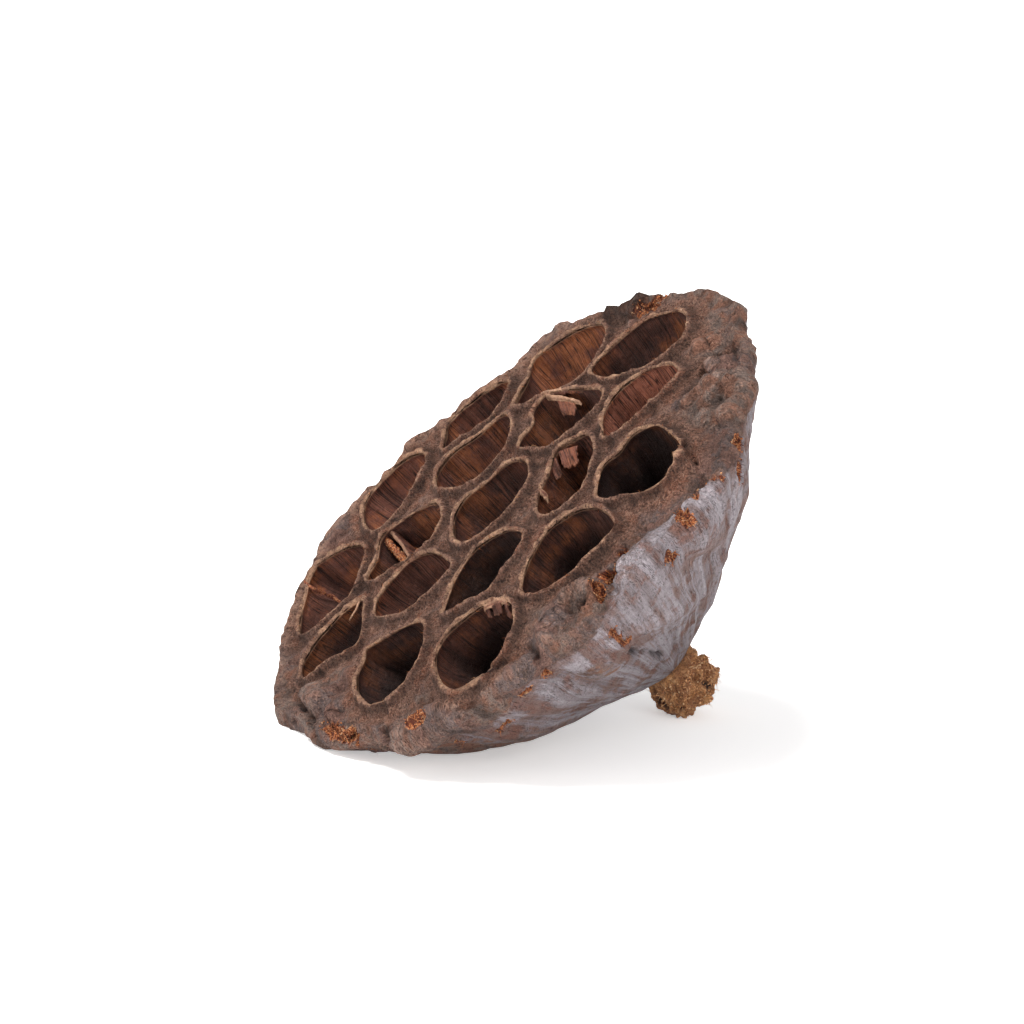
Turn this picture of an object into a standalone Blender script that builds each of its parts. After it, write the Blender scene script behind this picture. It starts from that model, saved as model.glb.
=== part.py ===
# Dried lotus pod: the empty seed head of the plant, lying on its rim and on the stub of its stalk.
# It is modelled in millimetres round its own axis, with the face up and the stalk down,
# and is then turned over to the way it lies and scaled to metres.
import bpy
import bmesh
import numpy as np
from math import radians
from mathutils import Matrix, Vector
from mathutils.geometry import delaunay_2d_cdt

mm = 0.001

# Driving dimensions, in millimetres and degrees. Depth is measured down the pod's axis from the face.
rimRadius = 44.0         # mean radius of the rim
rimOval = 2.0            # the rim is this much longer at 55 degrees and narrower across it
rimOvalTurn = 55.0
rimSkew = 0.8            # and it bulges a little towards 235 degrees
rimSkewTurn = 235.0
neckDepth = 36.1         # where the pod ends and the stalk comes out
neckRadius = 5.2
neckLip = 0.1            # the neck's rim curls in this much lower
socketRadius = 3.9       # the hole in the neck that holds the stalk
socketTop = 33.2
stubRadius = 3.3
stubTop = 33.8
stubEnd = 44.6
stubNeck = 36.4          # below this the stalk is rough
stubFootTurn = 285.0     # the side of the stalk that touches the table
stubFoot = 0.6           # and how far it bulges there
stubFootSpread = 40.0

lipReach = 0.9           # from the edge of a cell's mouth to the crest of its lip
webReach = 2.3           # and to the foot of the lip, where the sunk web begins
mouthDrop = 0.35         # the mouth's edge lies this far below the crest
webDrop = 1.15           # and the web lies this far below it
webSag = 0.15            # sinking a little more
webSagReach = 2.5        # over this distance
levelReach = 3.0         # near the rim the lips and webs level out over this distance
shoulderFall = 3.2       # the face rounds down to the rim on the far side
shoulderStart = 29.0
shoulderTurn = 10.0
shoulderInset = 1.6      # and the rim draws in there
edgeFall = 0.25
edgeLift = 0.9           # and curls up a little on the near side
edgeLiftTurn = 203.0
edgeLiftSpread = 22.0
edgeLiftStart = 34.0     # radius where the curl begins
edgeLiftReach = 8.0

wallThickness = 1.3      # least wall between a cell and the outside
cellDepth = 18.0         # depth of the cells in the middle
rimCellDepth = 14.5      # depth of the cells along the rim

# The way it lies: turned about its axis, tipped over, then swung round to face the viewer.
bodySpin = -11.1
bodyTilt = 44.5
bodySwing = -67.9
faceHeight = 34.3        # height of the face's centre above the table

# Detail of the solids
rimSides = 76
cellSides = 22
stubSides = 18
webSpacing = 3.1
rowShare = 0.87          # rows of web points lie this share of their spacing apart
gridReach = 50.0         # the rows cover this much to each side of the axis
ringShare = 0.8          # a lip's ring drops the points nearer than this share of its reach to another mouth
ringMargin = 0.9         # and those nearer than this to the rim
gridMargin = 1.1         # the rows stay this far outside the lips
rimMargin = 1.6          # and this far inside the rim
sharpAngle = 35.0        # edges sharper than this stay sharp when shaded

# Half outline of the pod: depth and radius from the face to the neck
profile = [(0, 42.8), (1.2, 43.9), (4, 44.5), (8, 41.5), (14, 35), (20, 27.8), (26, 20.2), (31, 12.9),
           (34, 8.2), (neckDepth, neckRadius)]
sideDepths = [1.4, 3.2, 5.2, 7.4, 9.8, 12.2, 14.8, 17.4, 20, 22.6, 25.2, 27.8, 30.2, 32.4, 34.3]

# Slow waves round the side: height, waves in a turn, turn per millimetre of depth, start
sideWaves = [(0.45, 13, 0.25, 0.0), (0.35, 21, -0.3, 2.0)]
lowerWave = (0.5, 8, 0.1, 1.0)
lowerWaveReach = 8.0     # it grows to its full height over this depth
waveFade = 14.0          # the waves die out over this depth above the neck
ovalFade = 30.0          # the rim's oval form fades over this depth
shoulderFade = 5.0       # and the shoulder over this depth
fallFade = 12.0          # the rows of the side follow the rim's fall down to this depth

# Wall of a cell: share of its depth and width left there, and how it follows the pod's taper by depth
cupShape = [(0.10, 1.0), (0.32, 0.97), (0.58, 0.92), (0.80, 0.82), (0.95, 0.58)]
cupTaper = [(0, 1.0), (4, 0.985), (8, 0.935), (14, 0.80), (20, 0.66)]
cupFloor = 0.05          # share of the depth that the floor's middle lies below the last ring
innerCells = 20.0        # a cell this far from the axis has the full depth
outerCells = 36.0        # and one this far out the depth of those along the rim

# Stalk: depth and radius
stubShape = [(stubTop, 2.9), (stubTop + 0.6, stubRadius), (stubNeck, stubRadius), (37.6, 3.7), (39.2, 3.7),
             (40.6, 4.3), (42.2, 4.9), (43.6, 4.6), (stubEnd, 3.2)]
stubWaves = [(0.35, 5, 1.0), (0.25, 8, -1.7)]    # height, waves in a turn, turn per millimetre of depth
stubRise = 3.0           # they grow to their full height over this depth
stubTip = (0.3, -0.2, -stubEnd + 0.5)

# Knobs, bulges and dents of the side: turn, depth, height, half width in degrees, half height
lumps = [
    (213, 0.8, 3.0, 4.5, 3.0),
    (217, 1.5, 1.3, 12, 3.5),
    (236, 2.0, 0.9, 14, 5.0),
    (184, 1.5, 1.3, 6, 3.0),
    (168, 1.5, -1.0, 5, 3.0),
    (196, 2.0, -0.8, 5, 3.0),
    (151, 1.2, 3.6, 6, 3.5),
    (140, 4.0, 1.9, 10, 6.0),
    (100, 2.5, 1.8, 12, 4.0),
    (79, 9.0, -3.2, 12, 6.0),
    (56, 6.5, -2.8, 13, 6.0),
    (318, 18.5, 2.6, 22, 7.0),
    (291, 7.0, -1.6, 14, 6.0),
    (291, 18.0, 0.7, 7, 4.0),
    (263, 3.5, 1.8, 6, 3.5),
    (261, 8.0, 0.6, 6, 4.0),
    (287, 7.5, 2.1, 7, 4.5),
    (275, 8.5, -2.3, 7, 8.0),
    (20, 9.0, 0.9, 9, 5.0),
    (345, 10.0, -0.8, 9, 5.0),
    (9, 12.4, 0.9, 7, 4.0),
    (31, 8.8, 0.8, 5, 3.5),
    (18, 5.5, -1.0, 4, 4.0),
    (23, 13.5, -1.1, 4, 4.0),
    (3, 21.5, -1.1, 5, 4.0),
]

# Mouths of the cells in the face, as points round the pod's axis, joined by a smooth closed curve
cells = {
    "a": [(-35, 19.5), (-31.5, 26), (-25.5, 28.5), (-20, 27), (-16.5, 21.5), (-17.5, 18.5), (-21.5, 15),
          (-23, 12), (-26, 11), (-30, 14.5), (-34.5, 17)],
    "b": [(-16, 26), (-15.5, 33), (-11.5, 37), (-7, 38), (-2, 37), (0.5, 34.5), (-1, 29.5), (-5, 25.5),
          (-10, 23), (-15, 22.5)],
    "c": [(-1, 23), (0.5, 28), (4, 31), (7.5, 31.5), (10.5, 30.5), (10.5, 24), (8.5, 18), (5, 17.5),
          (1.5, 19)],
    "d": [(14, 20), (16.5, 23), (21, 24), (26.5, 24), (29.5, 22), (31, 18), (29, 14.5), (25, 11.5), (20, 11),
          (15, 14), (15.5, 17)],
    "e": [(-20.5, 15), (-15, 18), (-8, 21), (-4, 20), (-3, 16), (-3.5, 12), (-7, 9), (-12, 7), (-14.5, 8),
          (-15.5, 10.5), (-19, 12)],
    "f": [(-40, 6), (-39, 10), (-35, 12), (-31, 9.5), (-30.5, 5), (-32, 0), (-33, -2.5), (-36.5, -1),
          (-40, 1)],
    "g": [(-27, 7.5), (-23, 8.5), (-17, 5.5), (-15, 0), (-17, -4), (-24, -6.5), (-28, -5), (-29.5, -1),
          (-27.5, 3)],
    "h": [(-0.5, 12), (1.5, 15), (4, 15.5), (9, 14), (13.5, 11.5), (16, 7.5), (15, 4.5), (11, 3), (6.5, 4),
          (2, 8), (-0.5, 10)],
    "i": [(18, 2), (20, 6.5), (24, 9), (29, 10), (32, 9.5), (33, 5), (33.5, 1), (31.5, -3), (28, -6),
          (24, -5), (20, -1.5)],
    "j": [(-11, 4), (-7, 6), (-2, 5), (1.5, 1.5), (2, -3), (0, -8), (-5, -9), (-10.5, -7), (-12.5, -4),
          (-11.5, 0)],
    "k": [(-41, -12), (-40, -7), (-36.5, -5), (-32, -7.5), (-29, -12), (-27.5, -17), (-30.5, -19),
          (-35.5, -18.5), (-39, -16.5)],
    "l": [(-24, -14), (-21, -9.5), (-18, -8), (-13.5, -9), (-11, -13), (-12, -18), (-14, -22.5),
          (-17, -23.5), (-20, -20.5), (-25, -18)],
    "m": [(4.5, -8), (7, -3), (12, -1), (15.5, -3.5), (17.5, -7.5), (18.8, -10.3), (17, -12.3), (15, -16),
          (12, -16.5), (7, -12.5)],
    "n": [(-10, -17), (-7, -14), (-2, -12.5), (2, -12), (3.5, -14.5), (3.5, -20), (1, -23.5), (-4, -25.5),
          (-8, -24), (-9.5, -20)],
    "o": [(19.8, -17), (20.8, -12.5), (23.5, -9.5), (28, -8.5), (32, -10), (34.5, -14), (34.5, -18.5),
          (32.5, -22), (28.5, -23), (23.5, -22), (20.5, -19.5)],
    "p": [(-34.5, -28), (-31, -23.5), (-27, -21.5), (-22, -23.5), (-18, -26), (-16.5, -28), (-17, -34),
          (-20.5, -37), (-26, -35.5), (-31.5, -32.5), (-35, -30)],
    "q": [(-13.5, -29), (-12, -26), (-8, -27), (-4, -28.5), (-1.5, -30.5), (-4, -35), (-6.5, -39.5),
          (-10.5, -39.5), (-13, -36), (-13.5, -33)],
    "r": [(3.0, -29.2), (5.6, -24.7), (9.7, -20.6), (16, -21.8), (19.5, -25.5), (20.5, -29), (17.5, -33),
          (13, -34), (8.5, -33), (5, -30.5)],
}

# Torn walls left standing in two of the cells: plan points, top depth, bottom depth
tornWalls = {
    "across_l": ([(-26.5, -17.2), (-19, -17.0), (-10, -17.4)], 1.2, 9.0),
    "along_e": ([(-19.5, 13.2), (-12, 16.4), (-4.5, 18.6), (-1.6, 19.2)], 1.0, 7.5),
}
tornWallThickness = 0.9

podColour = (0.15, 0.10, 0.085)
podRoughness = 0.8
stubColour = (0.36, 0.20, 0.09)
stubRoughness = 0.9


def clearScene():
    for thing in list(bpy.data.objects):
        bpy.data.objects.remove(thing, do_unlink=True)


def closedCurve(points, count):
    """Evenly spaced points along a smooth closed curve through the given ones."""
    points = np.array(points, float)
    before = np.roll(points, 1, axis=0)
    after = np.roll(points, -1, axis=0)
    beyond = np.roll(points, -2, axis=0)
    dense = []
    for t in np.arange(0, 1, 0.05):
        dense.append(0.5 * (2 * points + (after - before) * t
                            + (2 * before - 5 * points + 4 * after - beyond) * t ** 2
                            + (3 * points - before - 3 * after + beyond) * t ** 3))
    dense = np.stack(dense, axis=1).reshape(-1, 2)
    dense = np.vstack([dense, dense[:1]])
    along = np.concatenate([[0], np.cumsum(np.hypot(*np.diff(dense, axis=0).T))])
    at = np.linspace(0, along[-1], count, endpoint=False)
    return np.stack([np.interp(at, along, dense[:, 0]), np.interp(at, along, dense[:, 1])], axis=1)


def counterClockwise(loop):
    following = np.roll(loop, -1, axis=0)
    area = np.sum(loop[:, 0] * following[:, 1] - loop[:, 1] * following[:, 0])
    return loop if area > 0 else loop[::-1]


def turnBetween(angle, degrees):
    """Difference between an angle in radians and one in degrees, in degrees, within 180 of zero."""
    return (np.degrees(angle) - degrees + 180) % 360 - 180


def rimShape(angle):
    oval = rimOval * np.cos(2 * (angle - radians(rimOvalTurn)))
    skew = rimSkew * np.cos(angle - radians(rimSkewTurn))
    return rimRadius + oval + skew


def sideRadius(angle, depth):
    """Radius of the outside at a turn round the axis and a depth below the face."""
    depths, radii = zip(*profile)
    radius = np.interp(depth, depths, radii)
    uneven = np.clip(1.15 - depth / ovalFade, 0, 1)
    radius = radius * (1 + (rimShape(angle) / rimRadius - 1) * uneven)
    for turn, at, height, halfTurn, halfDepth in lumps:
        near = (turnBetween(angle, turn) / halfTurn) ** 2 + ((depth - at) / halfDepth) ** 2
        radius = radius + height * np.exp(-near)
    facing = 0.5 + 0.5 * np.cos(angle - radians(shoulderTurn))
    radius = radius - shoulderInset * facing * np.clip(1.4 - depth / shoulderFade, 0, 1) ** 2
    waves = sum(height * np.sin(count * angle + twist * depth + start)
                for height, count, twist, start in sideWaves)
    height, count, twist, start = lowerWave
    grown = np.clip(depth / lowerWaveReach, 0, 1)
    waves = waves + height * np.sin(count * angle + twist * depth + start) * grown
    return radius + waves * np.clip((neckDepth - depth) / waveFade, 0, 1)


def faceBase(points):
    """Height of the face before its lips and webs: it falls to the rim and curls up on the near side."""
    angle = np.arctan2(points[:, 1], points[:, 0])
    radius = np.hypot(points[:, 0], points[:, 1])
    out = np.clip((radius - shoulderStart) / (rimShape(angle) - shoulderStart), 0, 1.2)
    facing = 0.5 + 0.5 * np.cos(angle - radians(shoulderTurn))
    lift = edgeLift * np.exp(-(turnBetween(angle, edgeLiftTurn) / edgeLiftSpread) ** 2)
    fall = (shoulderFall * facing + edgeFall) * out ** 2
    return lift * np.clip((radius - edgeLiftStart) / edgeLiftReach, 0, 1) - fall


def distanceToLoop(points, loop):
    """Distance of each point to a closed loop of straight runs."""
    start = loop[None, :, :]
    run = np.roll(loop, -1, axis=0)[None, :, :] - start
    offset = points[:, None, :] - start
    share = np.clip(np.sum(offset * run, axis=2) / np.sum(run * run, axis=2), 0, 1)
    return np.min(np.linalg.norm(offset - share[:, :, None] * run, axis=2), axis=1)


def insideLoop(points, loop):
    following = np.roll(loop, -1, axis=0)
    x, y = points[:, :1], points[:, 1:]
    crossing = (loop[:, 1] > y) != (following[:, 1] > y)
    rise = np.where(following[:, 1] == loop[:, 1], 1e-9, following[:, 1] - loop[:, 1])
    left = x < loop[:, 0] + (y - loop[:, 1]) / rise * (following[:, 0] - loop[:, 0])
    return np.sum(crossing & left, axis=1) % 2 == 1


def mouthDistance(points, mouths):
    return np.min([distanceToLoop(points, loop) for loop in mouths], axis=0)


def faceRelief(distance):
    """Height over the face's base by distance from the nearest mouth: edge, crest of the lip, sunk web."""
    reaches = [0, lipReach, webReach, webReach + webSagReach]
    return np.interp(distance, reaches, [-mouthDrop, 0, -webDrop, -webDrop - webSag])


def facePoints(points, mouths, rim):
    """Points of the face at their heights; lips and webs level out towards the rim."""
    level = np.clip(distanceToLoop(points, rim) / levelReach, 0, 1)
    height = faceBase(points) + faceRelief(mouthDistance(points, mouths)) * level
    return np.column_stack([points, height])


def offsetLoop(loop, reach):
    tangent = np.roll(loop, -1, axis=0) - np.roll(loop, 1, axis=0)
    tangent /= np.linalg.norm(tangent, axis=1)[:, None]
    return loop + reach * np.column_stack([tangent[:, 1], -tangent[:, 0]])


def rimLoop():
    angle = np.arange(rimSides) * 2 * np.pi / rimSides
    radius = rimShape(angle)
    for _ in range(4):
        edge = np.column_stack([radius * np.cos(angle), radius * np.sin(angle)])
        radius = sideRadius(angle, np.maximum(-faceBase(edge), 0))
    return np.column_stack([radius * np.cos(angle), radius * np.sin(angle)])


def faceMesh(mouths):
    """The face as a triangulated sheet between the rim and the mouths, with its lips raised."""
    rim = rimLoop()
    flat = list(rim)
    edges = [(k, (k + 1) % rimSides) for k in range(rimSides)]
    for loop in mouths:
        first = len(flat)
        flat += list(loop)
        edges += [(first + k, first + (k + 1) % len(loop)) for k in range(len(loop))]
    for reach in (lipReach, webReach):
        for loop in mouths:
            ring = offsetLoop(loop, reach)
            free = mouthDistance(ring, mouths) > reach * ringShare
            free &= distanceToLoop(ring, rim) > ringMargin
            flat += list(ring[free & insideLoop(ring, rim)])
    across = np.arange(-gridReach, gridReach, webSpacing)
    rows = enumerate(across * rowShare)
    grid = np.array([(x + webSpacing / 2 * (row % 2), y) for row, y in rows for x in across])
    free = (mouthDistance(grid, mouths) > webReach + gridMargin) & (distanceToLoop(grid, rim) > rimMargin)
    free &= insideLoop(grid, rim) & ~np.any([insideLoop(grid, loop) for loop in mouths], axis=0)
    flat += list(grid[free])
    found = delaunay_2d_cdt([Vector(p) for p in flat], edges, [], 0, 1e-6, True)
    corners = np.array([tuple(v) for v in found[0]])
    faces = [tuple(f) for f in found[2]]
    middle = np.array([corners[list(f)].mean(axis=0) for f in faces])
    keep = insideLoop(middle, rim) & ~np.any([insideLoop(middle, loop) for loop in mouths], axis=0)
    place = {}
    for new, olds in enumerate(found[3]):
        for old in olds:
            place[old] = new
    return corners, [f for f, kept in zip(faces, keep) if kept], place


def addRings(verts, faces, first, rings, inward):
    """Joins a loop of vertices to rings of new points below it, and returns the last ring's vertices."""
    above = first
    for ring in rings:
        below = list(range(len(verts), len(verts) + len(ring)))
        verts += [tuple(p) for p in ring]
        for k in range(len(above)):
            n = (k + 1) % len(above)
            quad = (below[k], below[n], above[n], above[k])
            faces.append(quad[::-1] if inward else quad)
        above = below
    return above


def addCap(verts, faces, loop, centre, inward):
    verts.append(tuple(centre))
    tip = len(verts) - 1
    for k in range(len(loop)):
        corner = (loop[k], tip, loop[(k + 1) % len(loop)])
        faces.append(corner[::-1] if inward else corner)


def cupRings(loop, depth):
    """Rings of a cell's wall: it follows the pod's taper, narrows and ends in a rounded floor."""
    centre = loop.mean(axis=0)
    rings = []
    for share, narrow in cupShape:
        z = share * depth
        taper = np.interp(z, *zip(*cupTaper))
        ring = (centre + (loop - centre) * narrow) * taper
        angle = np.arctan2(ring[:, 1], ring[:, 0])
        radius = np.hypot(ring[:, 0], ring[:, 1])
        room = np.minimum(1, (sideRadius(angle, z) - wallThickness) / radius)
        ring = ring * room[:, None]
        rings.append(np.column_stack([ring, np.full(len(ring), -z) + faceBase(loop)]))
    floor = np.append(rings[-1][:, :2].mean(axis=0), rings[-1][:, 2].mean() - cupFloor * depth)
    return rings, floor


def ringAt(angle, radius, depth):
    return np.column_stack([radius * np.cos(angle), radius * np.sin(angle), -depth])


def sideRings(rim):
    angle = np.arctan2(rim[:, 1], rim[:, 0])
    fall = -faceBase(rim)
    rings = []
    for depth in sideDepths:
        lower = depth + fall * np.clip(1 - depth / fallFade, 0, 1)
        rings.append(ringAt(angle, sideRadius(angle, lower), lower))
    socket = ((neckRadius, neckDepth), (socketRadius, neckDepth + neckLip), (socketRadius, socketTop))
    for radius, depth in socket:
        rings.append(ringAt(angle, radius, np.full(len(angle), depth)))
    return rings


def makePod():
    mouths = [counterClockwise(closedCurve(points, cellSides)) for points in cells.values()]
    flat, faces, place = faceMesh(mouths)
    rim = [place[k] for k in range(rimSides)]
    verts = [tuple(p) for p in facePoints(flat, mouths, flat[rim])]
    last = addRings(verts, faces, rim, sideRings(flat[rim]), False)
    addCap(verts, faces, last, (0, 0, -socketTop), False)
    for number, loop in enumerate(mouths):
        first = [place[rimSides + number * cellSides + k] for k in range(cellSides)]
        out = np.hypot(*loop.mean(axis=0))
        depth = np.interp(out, [innerCells, outerCells], [cellDepth, rimCellDepth])
        rings, floor = cupRings(loop, depth)
        last = addRings(verts, faces, first, rings, True)
        addCap(verts, faces, last, floor, True)
    return makeObject("pod", verts, faces, podColour, podRoughness)


def makeStub():
    """Broken stalk: pushed up into the neck, it swells below it and ends in a ragged knob."""
    angle = np.arange(stubSides) * 2 * np.pi / stubSides
    rings = []
    for depth, radius in stubShape:
        rough = np.clip((depth - stubNeck) / stubRise, 0, 1)
        bumps = sum(height * np.sin(count * angle + twist * depth) for height, count, twist in stubWaves)
        foot = stubFoot * np.exp(-(turnBetween(angle, stubFootTurn) / stubFootSpread) ** 2)
        rings.append(ringAt(angle, radius + rough * (bumps + foot), np.full(len(angle), depth)))
    verts = [tuple(p) for p in rings[0]]
    faces = []
    first = list(range(stubSides))
    addCap(verts, faces, first, (0, 0, -stubTop), True)
    last = addRings(verts, faces, first, rings[1:], False)
    addCap(verts, faces, last, stubTip, False)
    return makeObject("stem_stub", verts, faces, stubColour, stubRoughness)


def makeObject(name, verts, faces, colour, roughness):
    mesh = bpy.data.meshes.new(name)
    mesh.from_pydata([Vector(v) * mm for v in verts], [], faces)
    build = bmesh.new()
    build.from_mesh(mesh)
    bmesh.ops.recalc_face_normals(build, faces=build.faces)
    bmesh.ops.triangulate(build, faces=build.faces, quad_method="SHORT_EDGE")
    build.to_mesh(mesh)
    build.free()
    mesh.shade_smooth()
    mesh.set_sharp_from_angle(angle=radians(sharpAngle))
    material = bpy.data.materials.new(name)
    material.use_nodes = True
    shader = material.node_tree.nodes["Principled BSDF"]
    shader.inputs["Base Color"].default_value = (*colour, 1)
    shader.inputs["Roughness"].default_value = roughness
    shader.inputs["Metallic"].default_value = 0
    mesh.materials.append(material)
    thing = bpy.data.objects.new(name, mesh)
    partCollection.objects.link(thing)
    return thing


def makeTornWall(name, plan, top, bottom):
    """A thin bent wall, made as a solid of its own that is then joined to the pod."""
    plan = np.array(plan, float)
    along = np.gradient(plan, axis=0)
    along /= np.linalg.norm(along, axis=1)[:, None]
    across = np.column_stack([-along[:, 1], along[:, 0]]) * tornWallThickness / 2
    verts = []
    for side in (-1, 1):
        for depth in (top, bottom):
            verts += [(p[0], p[1], -depth) for p in plan + side * across]
    count = len(plan)
    faces = []
    for k in range(count - 1):
        for one, other in ((0, 1), (1, 3), (3, 2), (2, 0)):
            faces.append((one * count + k, one * count + k + 1, other * count + k + 1, other * count + k))
    faces.append((0, count, 3 * count, 2 * count))
    faces.append(tuple(c + count - 1 for c in (0, 2 * count, 3 * count, count)))
    wall = makeObject(name, verts, faces, podColour, podRoughness)
    partCollection.objects.unlink(wall)
    joinCollection.objects.link(wall)
    wall.hide_render = True
    wall.display_type = "WIRE"
    return wall


def joinWalls(pod):
    """Fuses the torn walls into the pod by one Boolean union, and removes them."""
    walls = [makeTornWall(name, *values) for name, values in tornWalls.items()]
    union = pod.modifiers.new("torn walls", "BOOLEAN")
    union.operation = "UNION"
    union.operand_type = "COLLECTION"
    union.collection = joinCollection
    joined = bpy.data.meshes.new_from_object(pod.evaluated_get(bpy.context.evaluated_depsgraph_get()))
    pod.modifiers.remove(union)
    pod.data = joined
    for wall in walls:
        bpy.data.objects.remove(wall, do_unlink=True)


def layDown(things):
    """Turns the pod over to the way it lies, flattens what touches the table and centres the part on it."""
    turn = (Matrix.Rotation(radians(bodySwing), 4, "Z") @ Matrix.Rotation(radians(bodyTilt), 4, "X")
            @ Matrix.Rotation(radians(bodySpin), 4, "Z"))
    down = turn.to_3x3().transposed() @ Vector((0, 0, -1))
    corners = []
    for thing in things:
        for vert in thing.data.vertices:
            height = (turn @ vert.co).z + faceHeight * mm
            if height < 0:
                vert.co += down * height
            corners.append(turn @ vert.co)
    corners = np.array([tuple(c) for c in corners])
    middle = (corners.min(axis=0) + corners.max(axis=0)) / 2
    frame = bpy.data.objects.new("lotus_pod_frame", None)
    partCollection.objects.link(frame)
    frame.matrix_world = Matrix.Translation((-middle[0], -middle[1], faceHeight * mm)) @ turn
    for thing in things:
        thing.parent = frame


clearScene()
partCollection = bpy.data.collections.new("dried_lotus_pod")
joinCollection = bpy.data.collections.new("joined_pieces")
bpy.context.scene.collection.children.link(partCollection)
bpy.context.scene.collection.children.link(joinCollection)
pod = makePod()
joinWalls(pod)
stub = makeStub()
layDown([pod, stub])
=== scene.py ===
# Dried lotus pod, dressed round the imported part: the pod's skin, cells and torn places in fine
# mesh, the broken stalk with its fibres, and their finishes. Shapes are worked out in millimetres
# round the pod's own axis, face up, and are then laid down the way the part lies.
from math import cos, radians, sin
import bpy
import numpy as np
from mathutils import Matrix, Vector, kdtree
from mathutils.geometry import delaunay_2d_cdt


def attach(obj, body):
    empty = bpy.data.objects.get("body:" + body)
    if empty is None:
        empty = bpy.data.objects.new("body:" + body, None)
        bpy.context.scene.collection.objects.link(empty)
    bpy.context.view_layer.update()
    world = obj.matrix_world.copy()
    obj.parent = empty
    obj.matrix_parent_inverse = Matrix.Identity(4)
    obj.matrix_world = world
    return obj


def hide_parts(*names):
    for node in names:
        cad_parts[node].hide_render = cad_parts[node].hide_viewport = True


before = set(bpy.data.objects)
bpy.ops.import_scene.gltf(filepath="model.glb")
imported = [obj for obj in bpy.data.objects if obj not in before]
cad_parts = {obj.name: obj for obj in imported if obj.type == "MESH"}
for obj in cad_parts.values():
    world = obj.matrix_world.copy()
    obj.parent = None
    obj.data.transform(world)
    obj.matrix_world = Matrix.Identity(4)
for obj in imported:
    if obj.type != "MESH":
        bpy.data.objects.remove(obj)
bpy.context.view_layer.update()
mm = 0.001

# how the pod lies: spin about its own axis, tip over, swing round, and where its face's centre is
lying = {"spin": -11.1, "tilt": 44.5, "swing": -67.9, "centre": (-0.336, -1.429, 34.3)}

# the camera looks level across the photo's frame from a little above
view = {"target": (0.632, -5.323, 33.474), "elevation": 10.0, "distance": 0.52, "lens": 126.0}

podToPart = (Matrix.Translation(Vector(lying["centre"]) * mm)
             @ Matrix.Rotation(radians(lying["swing"]), 4, "Z")
             @ Matrix.Rotation(radians(lying["tilt"]), 4, "X")
             @ Matrix.Rotation(radians(lying["spin"]), 4, "Z"))


# ---- objects and nodes

def addObject(name, data):
    made = bpy.data.objects.new(name, data)
    bpy.context.scene.collection.objects.link(made)
    return made


class Link:
    # a socket that can be used in sums
    def __init__(self, nodes, socket):
        self.nodes, self.socket = nodes, socket

    def maths(self, operation, *values):
        return self.nodes.node("ShaderNodeMath", {"operation": operation}, dict(enumerate(values)))

    def __add__(self, other):
        return self.maths("ADD", self, other)

    def __radd__(self, other):
        return self.maths("ADD", other, self)

    def __sub__(self, other):
        return self.maths("SUBTRACT", self, other)

    def __rsub__(self, other):
        return self.maths("SUBTRACT", other, self)

    def __mul__(self, other):
        return self.maths("MULTIPLY", self, other)

    def __rmul__(self, other):
        return self.maths("MULTIPLY", other, self)


class Nodes:
    # a node tree and the one way nodes are added to it
    def __init__(self, tree):
        self.tree = tree

    def node(self, kind, settings, sockets, output=0):
        made = self.tree.nodes.new(kind)
        for label, value in settings.items():
            setattr(made, label, value)
        for label, value in sockets.items():
            self.join(made.inputs[label], value)
        return Link(self, made.outputs[output])

    def vectors(self, operation, sockets):
        return self.node("ShaderNodeVectorMath", {"operation": operation}, sockets, "Vector")

    def join(self, socket, value):
        if isinstance(value, Link):
            self.tree.links.new(value.socket, socket)
        elif socket.type == "RGBA" and len(value) == 3:
            socket.default_value = (*value, 1)
        else:
            socket.default_value = value


class Finish(Nodes):
    # a material made of patterns, and of coats in the colours of its palette
    def __init__(self, name, palette=()):
        self.material = bpy.data.materials.new(name)
        self.material.use_nodes = True
        super().__init__(self.material.node_tree)
        self.shader = self.tree.nodes["Principled BSDF"]
        self.palette = palette

    def mark(self, name, output="Fac"):
        return self.node("ShaderNodeAttribute", {"attribute_name": name}, {}, output)

    def noise(self, where, scale, detail=3.0, roughness=0.55, warp=0.0):
        return self.node("ShaderNodeTexNoise", {}, {
            "Vector": where, "Scale": scale, "Detail": detail, "Roughness": roughness,
            "Distortion": warp}, "Fac")

    def between(self, value, low, high):
        return self.node("ShaderNodeMapRange", {"interpolation_type": "SMOOTHSTEP"},
                         {"Value": value, "From Min": low, "From Max": high}, "Result")

    def lines(self, pattern, level, width):
        # thin lines where a noise pattern passes a level
        return self.between(pattern.maths("ABSOLUTE", pattern - level), width, 0.0)

    def tone(self, colour):
        return self.palette[colour] if isinstance(colour, str) else colour

    def coats(self, colour, *layers):
        # laid on in turn: share and colour, or pattern, its low and high, share and colour
        for *pattern, share, other in layers:
            if pattern:
                share = self.between(*pattern) * share
            colour = self.node("ShaderNodeMix", {"data_type": "RGBA"},
                               {0: share, 6: self.tone(colour), 7: self.tone(other)}, 2)
        return colour

    def relief(self, *layers, strength=1.0):
        # a normal bent by one height after the other, each with its distance
        bent = {}
        for height, distance in layers:
            normal = self.node("ShaderNodeBump", {}, {"Height": height, "Distance": distance,
                                                      "Strength": strength, **bent}, "Normal")
            bent = {"Normal": normal}
        return normal

    def surface(self, values):
        for label, value in values.items():
            self.join(self.shader.inputs[label], value)
        return self.material


# ---- stage: camera, floor and light

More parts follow.
